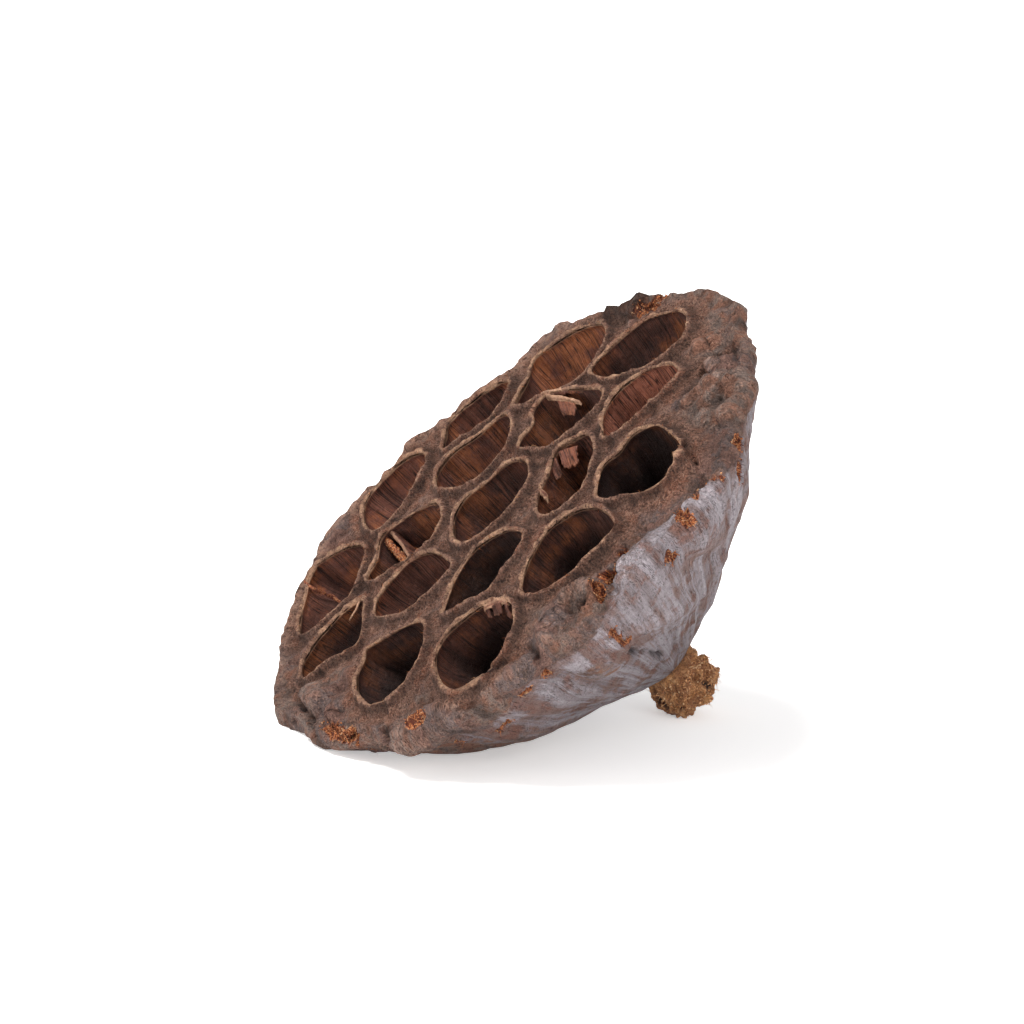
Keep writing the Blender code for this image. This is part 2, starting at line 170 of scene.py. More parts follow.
studio = {
    "skyStrength": 0.54, "sensor": 36, "nearest": 0.01,
    "floorHalf": 9, "floorColour": (0.95, 0.95, 0.95),
    "floorGlow": 0.40,       # keeps the shadow on the paper pale
    # distant soft lamps: name, direction the light comes from, strength, spread in degrees, colour
    "lamps": [
        ("top", (-0.35, -0.15, 1.0), 3.4, 24.0, (1.0, 0.98, 0.95)),
        ("front", (0.55, -1.0, 0.45), 1.2, 36.0, (1.0, 0.99, 0.98)),
        ("left", (-1.0, -0.6, 0.35), 0.95, 40.0, (1.0, 0.985, 0.97)),
    ],
}


def makeCamera():
    rise = radians(view["elevation"])
    camera = addObject("camera", bpy.data.cameras.new("camera"))
    camera.data.lens = view["lens"]
    camera.data.sensor_width = studio["sensor"]
    camera.data.clip_start = studio["nearest"]
    back = Vector((0, -cos(rise), sin(rise))) * view["distance"]
    camera.location = Vector(view["target"]) * mm + back
    camera.rotation_euler = (radians(90) - rise, 0, 0)
    bpy.context.scene.camera = camera


def makeStudio():
    world = bpy.data.worlds.new("studio")
    bpy.context.scene.world = world
    world.use_nodes = True
    sky = world.node_tree.nodes["Background"]
    sky.inputs["Color"].default_value = (1, 1, 1, 1)
    sky.inputs["Strength"].default_value = studio["skyStrength"]
    for name, direction, strength, spread, colour in studio["lamps"]:
        lamp = bpy.data.lights.new(name, "SUN")
        lamp.angle = radians(spread)
        lamp.energy = strength
        lamp.color = colour
        holder = addObject(name, lamp)
        holder.location = Vector(direction)
        holder.rotation_euler = (-Vector(direction)).to_track_quat("-Z", "Y").to_euler()
    bpy.context.scene.view_settings.view_transform = "Standard"
    half = studio["floorHalf"]
    mesh = bpy.data.meshes.new("floor")
    mesh.from_pydata([(-half, -half, 0), (half, -half, 0), (half, half, 0), (-half, half, 0)], [],
                     [(0, 1, 2, 3)])
    floor = addObject("floor", mesh)
    mesh.materials.append(Finish("floorPaper").surface({
        "Base Color": studio["floorColour"], "Roughness": 1.0, "Specular IOR Level": 0.0,
        "Emission Color": (1, 1, 1), "Emission Strength": studio["floorGlow"]}))


makeCamera()
makeStudio()
print("stage: camera, light and floor made")


# ---- noise and loops, worked on whole arrays of points

def noise(points, size, seed):
    # smooth noise between -1 and 1, with blobs of about the given size
    spot = points / size + seed * 7.31
    cell = np.floor(spot).astype(np.int64)
    part = spot - cell
    part = part * part * (3 - 2 * part)
    total = np.zeros(len(points))
    for corner in np.ndindex(2, 2, 2):
        at = cell + np.array(corner)
        # three large primes scatter the whole numbers of a corner
        code = (at[:, 0] * 73856093) ^ (at[:, 1] * 19349663) ^ (at[:, 2] * 83492791)
        code = (code ^ (code >> 13)) * 1274126177
        value = ((code ^ (code >> 16)) & 65535) / 32767.5 - 1
        total += value * np.prod(np.where(np.array(corner) == 1, part, 1 - part), axis=1)
    return total


def roughNoise(points, size, seed, layers=3):
    total = np.zeros(len(points))
    for layer in range(layers):
        total += noise(points, size / 2 ** layer, seed + layer) / 2 ** layer
    return total


def ridgeNoise(points, size, seed):
    # sharp crests and round valleys, between -1 and 1
    return 1 - 2 * np.abs(roughNoise(points, size, seed, 2))


def smoothStep(low, high, values):
    share = np.clip((values - low) / (high - low), 0, 1)
    return share * share * (3 - 2 * share)


def readOff(table, values):
    # a curve given as pairs, read at the given values
    return np.interp(values, *zip(*table))


def turnBetween(angle, degrees):
    return (np.degrees(angle) - degrees + 180) % 360 - 180


def hump(angle, degrees, halfWidth):
    return np.exp(-(turnBetween(angle, degrees) / halfWidth) ** 2)


def polar(points):
    return np.arctan2(points[:, 1], points[:, 0]), np.hypot(points[:, 0], points[:, 1])


def ringAt(angle, radius, depth):
    return np.column_stack([radius * np.cos(angle), radius * np.sin(angle),
                            np.broadcast_to(-depth, len(angle))])


def closedCurve(points, count):
    points = np.array(points, float)
    before, after, beyond = (np.roll(points, shift, axis=0) for shift in (1, -1, -2))
    dense = []
    for t in np.arange(0, 1, 0.05):
        dense.append(0.5 * (2 * points + (after - before) * t
                            + (2 * before - 5 * points + 4 * after - beyond) * t ** 2
                            + (3 * points - before - 3 * after + beyond) * t ** 3))
    dense = np.stack(dense, axis=1).reshape(-1, 2)
    dense = np.vstack([dense, dense[:1]])
    along = np.concatenate([[0], np.cumsum(np.hypot(*np.diff(dense, axis=0).T))])
    at = np.linspace(0, along[-1], count, endpoint=False)
    return np.stack([np.interp(at, along, dense[:, 0]), np.interp(at, along, dense[:, 1])], axis=1)


def smoothLine(points, count):
    # evenly numbered points along a smooth open line through the given ones
    points = np.array(points, float)
    padded = np.vstack([2 * points[:1] - points[1:2], points, 2 * points[-1:] - points[-2:-1]])
    at = np.linspace(0, len(points) - 1, count)
    first = np.minimum(at.astype(int), len(points) - 2)
    t = (at - first)[:, None]
    before, start, end, after = (padded[first + k] for k in range(4))
    return 0.5 * (2 * start + (end - before) * t
                  + (2 * before - 5 * start + 4 * end - after) * t ** 2
                  + (3 * start - before - 3 * end + after) * t ** 3)


def counterClockwise(loop):
    following = np.roll(loop, -1, axis=0)
    area = np.sum(loop[:, 0] * following[:, 1] - loop[:, 1] * following[:, 0])
    return loop if area > 0 else loop[::-1]


def loopOutward(loop):
    tangent = np.roll(loop, -1, axis=0) - np.roll(loop, 1, axis=0)
    tangent /= np.linalg.norm(tangent, axis=1)[:, None]
    return np.column_stack([tangent[:, 1], -tangent[:, 0]])


class NearestLoop:
    # finds how far points are from a set of closed loops, negative inside them
    def __init__(self, loops, splits=6):
        spots, outs = [], []
        for loop in loops:
            following = np.roll(loop, -1, axis=0)
            out = loopOutward(loop)
            outAfter = np.roll(out, -1, axis=0)
            for t in np.arange(splits) / splits:
                spots.append(loop + (following - loop) * t)
                outs.append(out + (outAfter - out) * t)
        self.spots, self.outs = np.vstack(spots), np.vstack(outs)
        self.tree = kdtree.KDTree(len(self.spots))
        for number, spot in enumerate(self.spots):
            self.tree.insert((*spot, 0), number)
        self.tree.balance()

    def find(self, points):
        found = np.array([self.tree.find((p[0], p[1], 0))[1] for p in points], int)
        offset = points[:, :2] - self.spots[found]
        side = np.sign(np.sum(offset * self.outs[found], axis=1))
        return np.linalg.norm(offset, axis=1) * np.where(side < 0, -1, 1)


# ---- the pod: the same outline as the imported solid, with finer relief

pod = {
    "rimRadius": 44.0, "rimOval": 2.0, "rimOvalTurn": 55.0, "rimSkew": 0.8, "rimSkewTurn": 235.0,
    "neckDepth": 36.1, "wallThickness": 1.3, "cellDepth": 18.0, "rimCellDepth": 14.5,
    "shoulderFall": 3.2, "shoulderStart": 29.0, "shoulderTurn": 10.0, "shoulderInset": 1.6,
    "edgeFall": 0.25, "edgeLift": 0.9, "edgeLiftTurn": 203.0, "edgeLiftSpread": 22.0,
    # the last two set where the rim is painted lighter, painted light on its left side
    "edgeLiftStart": 34, "edgeLiftRun": 8, "litRimTurn": 195, "litRimSpread": 55,
    "rimSides": 480, "mouthSides": 132, "faceSpacing": 0.54, "webStart": 2.0, "grainRadius": 44,
    # half outline: depth and radius from the face to the neck
    "profile": [(0, 42.8), (1.2, 43.9), (4, 44.5), (8, 41.5), (14, 35), (20, 27.8), (26, 20.2),
                (31, 12.9), (34, 8.2), (36.1, 5.2)],
    # the neck's end and the socket for the stalk in it: radius and depth
    "neckRows": [(5.2, 36.1), (4.6, 36.22), (3.9, 36.2), (3.9, 35.2), (3.9, 34.2), (3.9, 33.2)],
    # lip of a cell by distance from its mouth's edge
    "lipShape": [(0, -0.30), (0.12, -0.05), (0.32, 0.06), (0.55, -0.08), (0.8, -0.55),
                 (1.15, -0.98), (1.7, -1.22), (4.5, -1.38)],
    "lipRings": (0.12, 0.32, 0.55, 0.8, 1.15, 1.7),
    # shares of a cell's depth where its rings lie, and the first of them with half as many points
    "cupRings": (0.010, 0.028, 0.055, 0.09, 0.135, 0.19, 0.26, 0.34, 0.43, 0.52, 0.61, 0.70, 0.78,
                 0.86, 0.925, 0.965),
    "cupHalved": 8,
    # how a cell narrows, by share of its depth, and leans to the axis, by depth
    "cupNarrow": [(0, 1), (0.1, 1), (0.32, 0.97), (0.58, 0.92), (0.80, 0.82), (0.95, 0.58),
                  (0.98, 0.32)],
    "cupTaper": [(0, 1.0), (4, 0.985), (8, 0.935), (14, 0.80), (20, 0.66)],
    # where the margin is crumpled most: turn, half width, how much more
    "crumples": [(66, 28, 0.55), (128, 9, 0.9)],
    # where the waxy side begins, by turn: millimetres down from the rim, or inwards from it below 0
    "waxStart": [(0, 0.5), (3, -3.2), (8, -4), (12, -5), (23, -2), (28, -2), (32, 0), (41, 3),
                 (44, 2.5), (60, 3), (90, 1.5), (150, 0), (210, 0), (250, 3), (285, 6), (300, 7),
                 (315, 8), (326, 7.5), (338, 4), (341, 4), (347, 3.5), (354, 4.5), (360, 0.5)],
    # where the wax is worn off: turn, half width in degrees, first and last depth, share
    "worn": [(304, 17, 10, 40, 0.80), (350, 7, 11, 15, 0.62), (322, 6, 16, 22, 0.50),
             (30, 4, 14, 20, 0.45), (120, 14, 8, 16, 0.50), (170, 9, 12, 24, 0.45),
             (235, 12, 6, 12, 0.45), (90, 6, 20, 30, 0.40)],
}

# knobs, bulges and dents of the side: turn, depth, height, half width in degrees, half height
podLumps = [
    (213, 0.8, 3, 4.5, 3), (217, 1.5, 1.3, 12, 3.5), (236, 2, 0.9, 14, 5), (184, 1.5, 1.3, 6, 3),
    (168, 1.5, -1, 5, 3), (196, 2, -0.8, 5, 3), (151, 1.2, 3.6, 6, 3.5), (140, 4, 1.9, 10, 6),
    (100, 2.5, 1.8, 12, 4), (79, 9, -3.2, 12, 6), (56, 6.5, -2.8, 13, 6), (318, 18.5, 2.6, 22, 7),
    (291, 7, -1.6, 14, 6), (291, 18, 0.7, 7, 4), (263, 3.5, 1.8, 6, 3.5), (261, 8, 0.6, 6, 4),
    (287, 7.5, 2.1, 7, 4.5), (275, 8.5, -2.3, 7, 8), (20, 9, 0.9, 9, 5), (345, 10, -0.8, 9, 5),
    (9, 12.4, 0.9, 7, 4), (31, 8.8, 0.8, 5, 3.5), (18, 5.5, -1, 4, 4), (23, 13.5, -1.1, 4, 4),
    (3, 21.5, -1.1, 5, 4),
]

# mouths of the cells in the face, as points round the pod's axis
podCells = {
    "a": [(-35, 19.5), (-31.5, 26), (-25.5, 28.5), (-20, 27), (-16.5, 21.5), (-17.5, 18.5),
          (-21.5, 15), (-23, 12), (-26, 11), (-30, 14.5), (-34.5, 17)],
    "b": [(-16, 26), (-15.5, 33), (-11.5, 37), (-7, 38), (-2, 37), (0.5, 34.5), (-1, 29.5),
          (-5, 25.5), (-10, 23), (-15, 22.5)],
    "c": [(-1, 23), (0.5, 28), (4, 31), (7.5, 31.5), (10.5, 30.5), (10.5, 24), (8.5, 18), (5, 17.5),
          (1.5, 19)],
    "d": [(14, 20), (16.5, 23), (21, 24), (26.5, 24), (29.5, 22), (31, 18), (29, 14.5), (25, 11.5),
          (20, 11), (15, 14), (15.5, 17)],
    "e": [(-20.5, 15), (-15, 18), (-8, 21), (-4, 20), (-3, 16), (-3.5, 12), (-7, 9), (-12, 7),
          (-14.5, 8), (-15.5, 10.5), (-19, 12)],
    "f": [(-40, 6), (-39, 10), (-35, 12), (-31, 9.5), (-30.5, 5), (-32, 0), (-33, -2.5),
          (-36.5, -1), (-40, 1)],
    "g": [(-27, 7.5), (-23, 8.5), (-17, 5.5), (-15, 0), (-17, -4), (-24, -6.5), (-28, -5),
          (-29.5, -1), (-27.5, 3)],
    "h": [(-0.5, 12), (1.5, 15), (4, 15.5), (9, 14), (13.5, 11.5), (16, 7.5), (15, 4.5), (11, 3),
          (6.5, 4), (2, 8), (-0.5, 10)],
    "i": [(18, 2), (20, 6.5), (24, 9), (29, 10), (32, 9.5), (33, 5), (33.5, 1), (31.5, -3),
          (28, -6), (24, -5), (20, -1.5)],
    "j": [(-11, 4), (-7, 6), (-2, 5), (1.5, 1.5), (2, -3), (0, -8), (-5, -9), (-10.5, -7),
          (-12.5, -4), (-11.5, 0)],
    "k": [(-41, -12), (-40, -7), (-36.5, -5), (-32, -7.5), (-29, -12), (-27.5, -17), (-30.5, -19),
          (-35.5, -18.5), (-39, -16.5)],
    "l": [(-24, -14), (-21, -9.5), (-18, -8), (-13.5, -9), (-11, -13), (-12, -18), (-14, -22.5),
          (-17, -23.5), (-20, -20.5), (-25, -18)],
    "m": [(4.5, -8), (7, -3), (12, -1), (15.5, -3.5), (17.5, -7.5), (18.8, -10.3), (17, -12.3),
          (15, -16), (12, -16.5), (7, -12.5)],
    "n": [(-10, -17), (-7, -14), (-2, -12.5), (2, -12), (3.5, -14.5), (3.5, -20), (1, -23.5),
          (-4, -25.5), (-8, -24), (-9.5, -20)],
    "o": [(19.8, -17), (20.8, -12.5), (23.5, -9.5), (28, -8.5), (32, -10), (34.5, -14),
          (34.5, -18.5), (32.5, -22), (28.5, -23), (23.5, -22), (20.5, -19.5)],
    "p": [(-34.5, -28), (-31, -23.5), (-27, -21.5), (-22, -23.5), (-18, -26), (-16.5, -28),
          (-17, -34), (-20.5, -37), (-26, -35.5), (-31.5, -32.5), (-35, -30)],
    "q": [(-13.5, -29), (-12, -26), (-8, -27), (-4, -28.5), (-1.5, -30.5), (-4, -35), (-6.5, -39.5),
          (-10.5, -39.5), (-13, -36), (-13.5, -33)],
    "r": [(3, -29.2), (5.6, -24.7), (9.7, -20.6), (16, -21.8), (19.5, -25.5), (20.5, -29),
          (17.5, -33), (13, -34), (8.5, -33), (5, -30.5)],
}

# how red each cell's lining is, and how much painted shade darkens it
cellTones = {
    "a": (0.25, 0.1), "b": (0.15, 0.35), "c": (1, 0), "d": (0, 0.7), "e": (0.15, 0.4),
    "f": (0.25, 0.15), "g": (0.2, 0.3), "h": (0.3, 0.45), "i": (0.2, 0.5), "j": (0.25, 0.5),
    "k": (0.35, 0), "l": (0.2, 0.4), "m": (0.25, 0.8), "n": (0.35, 0.35), "o": (0.25, 0.55),
    "p": (0.2, 0), "q": (0.1, 0.5), "r": (0.1, 0.62),
}

# torn places that show the pith, as points on the skin: reach, depth of the tear, points
tears = [
    (0.95, 1.2, [(31.2, 29.9, -4.6), (32.8, 28.9, -4.5), (32.8, 28.3, -5.6), (33.9, 27.5, -5.7),
                 (32.9, 26.8, -7.5)]),
    (0.5, 0.7, [(37.1, 22.9, -3.3), (37.4, 23.7, -3.3), (37.7, 24.2, -3.9)]),
    (0.85, 1.2, [(37.9, 20.3, -3.1), (37, 18.9, -3), (38, 17.5, -3), (39.8, 17.1, -3.2),
                 (40.4, 17.3, -3.9)]),
    (1.3, 1.3, [(36.9, 7.9, -1.9), (38.5, 6.7, -2.3), (39.1, 5.7, -2.5), (38.8, 4.4, -2.8)]),
    (0.8, 1.4, [(38.8, 4.4, -3), (38.6, 3.2, -2.9), (38.4, 2, -2.9), (40, 1.8, -3.3)]),
    (0.7, 0.5, [(40.4, 12, -5.8), (39.4, 12.5, -7.4)]),
    (0.6, 0.6, [(41.8, -0.4, -7.3), (39.6, -0.5, -9.5), (38.4, 0.3, -10.6)]),
    (0.6, 0.6, [(38.7, -11.1, -6.3), (37.4, -10.7, -7.9)]),
    (0.7, 0.7, [(36.8, -15.3, -6.9), (36.5, -14.2, -7.5)]),
    (0.75, 0.8, [(30.5, -22, -11.1), (31.1, -20.9, -11.1), (32.7, -19.3, -10.4)]),
    (1.2, 1.8, [(10, -40.5, -1.8), (13, -40.1, -1.9), (15.2, -39.6, -2.2), (16.5, -38.7, -2.5),
                (17.8, -37.7, -2.3)]),
    (0.6, 0.6, [(17.7, -38.2, -4), (16.9, -37.7, -5.9), (15.1, -37.1, -8.1)]),
    (0.5, 0.4, [(27.3, -27.9, -9.8), (26.9, -27.2, -10.8)]),
    (0.9, 0.2, [(29.3, -29.3, -2.5), (29.9, -28.2, -2.6)]),
    (1.6, 0.7, [(-20.6, 34.2, -1.6), (-19.6, 36, -1.5), (-18.9, 37.8, -2.4)]),
]

# folds and cracks of the skin, as points on it: reach, depth, points; each is sunk and darkened
# with painted shade
folds = [
    (0.45, 0.9, [(38.4, -0.1, -2.9), (38.6, -1.4, -2.9), (38.4, -2.6, -2.9), (36.8, -3.6, -2.4)]),
    (0.8, 1.1, [(37.2, -10.2, -2.7), (39.6, -9.9, -2.8), (40.2, -10.3, -3.4)]),
    (0.65, 1.2, [(33, -1, -15.4), (28.5, -0.8, -19.1), (24.9, 0.4, -21.8), (20.7, 1.1, -25.3)]),
    (0.6, 1.4, [(12.1, 33.6, -1.7), (14.2, 33.1, -1.8), (15.1, 34.1, -2), (15.9, 35.1, -2.2)]),
    (0.6, 1.2, [(17.9, 32.2, -2), (19.8, 32.6, -2.2), (22.5, 32.7, -2.3)]),
    (0.5, 1, [(4.4, 38.5, -2.2), (6.7, 36.6, -1.9), (9.1, 37, -2.1)]),
    (0.9, 1.9, [(-5.7, -41.7, -2), (-1.5, -42.2, -1.8), (4, -42, -1.7), (7.6, -42.8, -2.4)]),
    (0.8, 1.5, [(-1.6, -44.9, -2.5)]),
    (0.8, 1.6, [(23.9, -33.3, -2.3), (25.7, -33.8, -2.9), (22.6, -34.7, -5.7)]),
    (0.5, 1.7, [(26.9, 24.7, -1.1), (29, 24.2, -1), (30.1, 24, -1.8), (31.8, 23.7, -2.5)]),
    (0.6, 0.7, [(33.6, -18.4, -2), (35.4, -15.2, -2.3), (36.6, -12.6, -2.5)]),
    (0.6, 0.6, [(16, -36.2, -1), (20.6, -34, -1.3), (24, -30.2, -1.4)]),
]

# stains: reach, darkness, points
stains = [
    (2.6, 0.95, [(-28, 30.6, -0.9), (-25, 33.2, -1.2), (-22.6, 35.2, -1.4)]),
    (2, 0.45, [(36.9, 9.5, -1.2), (38, 12.5, -1.6)]),
    (2.6, 0.4, [(24, -27, -0.8), (27.5, -24.5, -1.2)]),
    (2.5, 0.35, [(30, 29, -3), (33.5, 26.5, -3.4)]),
]

# swellings and hollows without an edge of their own: reach, height, points
swells = [
    (2.8, 1.1, [(38.9, -0.2, -10), (35.2, 3.4, -13), (32.1, 7.4, -15.6), (24.1, 11.8, -20.5)]),
    (1.8, -0.9, [(41, 12.7, -3.1), (40.6, 13.2, -6.6), (34.4, 13.8, -12.5), (27, 17, -17.1)]),
    (2, 2.1, [(-1.2, -40.4, -2), (2.4, -39.7, -2)]), (2.2, 1.9, [(7.2, -38.9, -2)]),
    (2.6, 1.9, [(28.5, -31.6, -4.6), (29.7, -29.7, -4.7)]), (2, 1.6, [(31.4, -26.8, -4.4)]),
    (1.5, -1.2, [(4.8, -38.6, -1.6), (5.2, -41, -2.2)]),
    (1.4, -1.1, [(30.9, -28.4, -3.2), (32.8, -28.8, -6)]), (2.4, 1.2, [(8.8, 36.1, -2)]),
    (2.2, 1.4, [(15, 36.6, -2.2)]), (2.4, 1.2, [(20.7, 35, -2.4)]), (1.6, 0.9, [(12, 35.4, -1.8)]),
    (1.8, 0.9, [(17.4, 34, -2)]), (1.5, 0.8, [(10.6, 31.4, -1.4)]), (2, 1, [(26.5, 31.5, -2.6)]),
    (2.4, -1, [(12, 38.4, -2.2)]), (1.6, 0.8, [(5, 36, -1.8)]), (1.6, 1.5, [(-24.6, 33.4, -1.2)]),
    (1.3, 1.2, [(-27.6, 31, -0.9)]), (1.1, 1.2, [(-22.6, 35.2, -1.4)]),
    (2.6, -0.8, [(32.5, 16.1, -1.8), (33.7, 12.7, -2)]),
    (1.4, 1.7, [(38.1, 2.9, -2.8), (36.2, -0.6, -2.4), (36.4, -5.5, -2.6), (38.6, -7.7, -2.6)]),
    (1.3, 1.3, [(39.9, 11.8, -2.8), (40.4, 9, -2.9), (40.6, 5.4, -3)]),
    (0.9, 1.5, [(26.8, 25.9, -1.1), (29.2, 25.5, -1.2), (32, 25, -2.4)]),
    (0.8, 1.2, [(29.4, 22.9, -1.2), (31.6, 22.5, -2)]), (2, 1, [(33, -24, -3)]),
    (1.8, 0.9, [(38.6, -14.4, -3.4)]), (2.2, -0.9, [(35, -21.6, -3.2)]),
    (1.6, 0.9, [(20.4, -37.2, -2)]), (1.6, -0.8, [(17.2, -35.2, -1)]),
    (1.6, 0.8, [(-10.8, -41.8, -1.4)]), (1.7, 1.5, [(-38.5, -23.6, -0.8)]),
    (1.8, 1.1, [(-42.6, -6, -0.4)]), (1.5, 1, [(-37.6, 23.6, -1)]),
    (1.4, 0.9, [(-41.6, 11.5, -0.6)]), (1.3, -0.8, [(-42.4, 2, -0.6)]),
    (1.3, -0.8, [(-41, -14, -0.6)]),
]


def rimShape(angle):
    oval = pod["rimOval"] * np.cos(2 * (angle - radians(pod["rimOvalTurn"])))
    skew = pod["rimSkew"] * np.cos(angle - radians(pod["rimSkewTurn"]))
    return pod["rimRadius"] + oval + skew


def shoulder(angle):
    return 0.5 + 0.5 * np.cos(angle - radians(pod["shoulderTurn"]))


def sideRadius(angle, depth):
    radius = readOff(pod["profile"], depth)
    uneven = np.clip(1.15 - depth / 30, 0, 1)
    radius = radius * (1 + (rimShape(angle) / pod["rimRadius"] - 1) * uneven)
    for turn, at, height, halfTurn, halfDepth in podLumps:
        near = (turnBetween(angle, turn) / halfTurn) ** 2 + ((depth - at) / halfDepth) ** 2
        radius = radius + height * np.exp(-near)
    radius = radius - pod["shoulderInset"] * shoulder(angle) * np.clip(1.4 - depth / 5, 0, 1) ** 2
    waves = 0.45 * np.sin(13 * angle + 0.25 * depth) + 0.35 * np.sin(21 * angle - 0.3 * depth + 2)
    waves = waves + 0.5 * np.sin(8 * angle + 0.1 * depth + 1) * np.clip(depth / 8, 0, 1)
    return radius + waves * np.clip((pod["neckDepth"] - depth) / 14, 0, 1)


def faceBase(points):
    angle, radius = polar(points)
    start = pod["shoulderStart"]
    out = np.clip((radius - start) / (rimShape(angle) - start), 0, 1.2)
    lift = pod["edgeLift"] * hump(angle, pod["edgeLiftTurn"], pod["edgeLiftSpread"])
    fall = (pod["shoulderFall"] * shoulder(angle) + pod["edgeFall"]) * out ** 2
    return lift * np.clip((radius - pod["edgeLiftStart"]) / pod["edgeLiftRun"], 0, 1) - fall


def rimLoop():
    angle = np.arange(pod["rimSides"]) * 2 * np.pi / pod["rimSides"]
    radius = rimShape(angle)
    for _ in range(4):      # the edge's height depends on its radius, and the other way round
        radius = sideRadius(angle, np.maximum(-faceBase(ringAt(angle, radius, 0)), 0))
    return ringAt(angle, radius, 0)[:, :2]


def mouthLoop(points):
    # the smooth outline with the small unevenness of a torn edge
    loop = counterClockwise(closedCurve(points, pod["mouthSides"]))
    flat = np.column_stack([loop, np.zeros(len(loop))])
    uneven = 0.26 * noise(flat, 3.4, 3) + 0.05 * noise(flat, 1.0, 4)
    return loop + loopOutward(loop) * uneven[:, None]


def faceSheet(mouths, rim, nearMouth, nearRim):
    # flat triangulated sheet between the rim and the mouths: points, faces and old-to-new numbers
    def clear(points, ofMouth, ofRim):
        return (nearMouth.find(points) > ofMouth) & (nearRim.find(points) < -ofRim)

    flat, edges = [], []
    for loop in [rim, *mouths]:
        first = len(flat)
        flat += list(loop)
        edges += [(first + k, first + (k + 1) % len(loop)) for k in range(len(loop))]
    for reach in pod["lipRings"]:
        ring = np.vstack([loop + loopOutward(loop) * reach for loop in mouths])
        flat += list(ring[clear(ring, reach * 0.93, 0.35)])
    spacing = pod["faceSpacing"]
    across = np.arange(-50, 50, spacing)
    grid = np.array([(x + spacing / 2 * (row % 2), y)
                     for row, y in enumerate(across * 0.87) for x in across])
    flat += list(grid[clear(grid, pod["webStart"], 0.45)])
    found = delaunay_2d_cdt([Vector(p) for p in flat], edges, [], 0, 1e-7, True)
    corners = np.array([tuple(v) for v in found[0]])
    faces = np.array(found[2])
    keep = clear(corners[faces].mean(axis=1), 0, 0)
    place = {old: new for new, olds in enumerate(found[3]) for old in olds}
    return corners, faces[keep], place


class Builder:
    # collects vertices with their marks, and the faces between them
    marks = ("lip", "cell", "share", "flank", "red", "dark", "wax", "margin", "edge", "trench")

    def __init__(self):
        self.places, self.grains, self.values, self.faces = [], [], [], []
        self.count = 0
        self.last = None      # numbers of the ring that the next one joins

    def add(self, places, grains, **marks):
        first = self.count
        self.places.append(places)
        self.grains.append(grains)
        self.values.append(np.column_stack([np.broadcast_to(marks.get(m, 0.0), len(places))
                                            for m in self.marks]))
        self.count += len(places)
        return np.arange(first, self.count)

    def skirt(self, above, below, inward):
        # faces between two rings; the lower one may have half as many points
        n = np.roll(np.arange(len(below)), -1)
        if len(below) == len(above):
            quads = [(below, below[n], above[n]), (below, above[n], above)]
        else:
            even, odd = above[0::2], above[1::2]
            quads = [(even, below, odd), (odd, below, below[n]), (odd, below[n], even[n])]
        for a, b, c in quads:
            self.faces.append(np.column_stack([a, c, b] if inward else [a, b, c]))

    def ring(self, places, grains, inward, **marks):
        below = self.add(places, grains, **marks)
        if self.last is not None:
            self.skirt(self.last, below, inward)
        self.last = below

    def close(self, place, grain, inward, **marks):
        # one more point that the last ring runs together in
        ring, n = self.last, np.roll(np.arange(len(self.last)), -1)
        tips = np.full(len(ring), self.add(np.array([place]), np.array([grain]), **marks)[0])
        corners = [ring, ring[n], tips] if inward else [ring, tips, ring[n]]
        self.faces.append(np.column_stack(corners))

    def arrays(self):
        values = dict(zip(self.marks, np.vstack(self.values).T))
        return np.vstack(self.places), np.vstack(self.grains), values, np.vstack(self.faces)


def pointNormals(places, faces):
    a, b, c = (places[faces[:, k]] for k in range(3))
    normal = np.cross(b - a, c - a)
    total = np.zeros_like(places)
    for k in range(3):
        np.add.at(total, faces[:, k], normal)
    return total / np.maximum(np.linalg.norm(total, axis=1), 1e-12)[:, None]


def lineDistance(points, line):
    # distance of each point to a line of straight runs, or to a single spot
    line = np.array(line, float)
    if len(line) == 1:
        return np.linalg.norm(points - line[0], axis=1)
    best = np.full(len(points), 1e9)
    for start, end in zip(line[:-1], line[1:]):
        run = end - start
        share = np.clip((points - start) @ run / (run @ run), 0, 1)
        best = np.minimum(best, np.linalg.norm(points - start - share[:, None] * run, axis=1))
    return best


def addCup(builder, loop, first, name):
    # one cell's wall and floor, hung from its mouth
    centre = loop.mean(axis=0)
    depth = np.interp(np.hypot(*centre), [20, 36], [pod["cellDepth"], pod["rimCellDepth"]])
    red, dark = cellTones[name]
    builder.last = first
    for number, share in enumerate(pod["cupRings"]):
        if number == pod["cupHalved"]:
            loop = loop[::2]
        z = share * depth
        undercut = 0.45 * smoothStep(0.15, 1.0, z) * smoothStep(7.0, 2.0, z)
        ring = centre + (loop - centre) * readOff(pod["cupNarrow"], share)
        ring = (ring + loopOutward(loop) * undercut) * readOff(pod["cupTaper"], z)
        angle, radius = polar(ring)
        ring = ring * np.minimum(1, (sideRadius(angle, z) - pod["wallThickness"]) / radius)[:, None]
        height = np.full(len(ring), -z) + faceBase(loop) - 0.30
        grain = np.column_stack([loop, np.full(len(loop), -0.05 * z)])
        builder.ring(np.column_stack([ring, height]), grain, True, lip=smoothStep(0.42, 0.10, z),
                     cell=1.0, share=share, red=red, dark=dark)
    tip = (*ring.mean(axis=0), height.mean() - 0.01 * depth)
    builder.close(tip, (*centre, -0.1 * depth), True, cell=1.0, share=1.0, red=red, dark=dark)


def waxAt(angle, along):
    return smoothStep(-1.2, 2.4, along - readOff(pod["waxStart"], np.degrees(angle) % 360))


# painted light: how much the rim is painted lighter, most on its left side
def paintedLitRim(angle):
    return np.exp(-(turnBetween(angle, pod["litRimTurn"]) / pod["litRimSpread"]) ** 4)


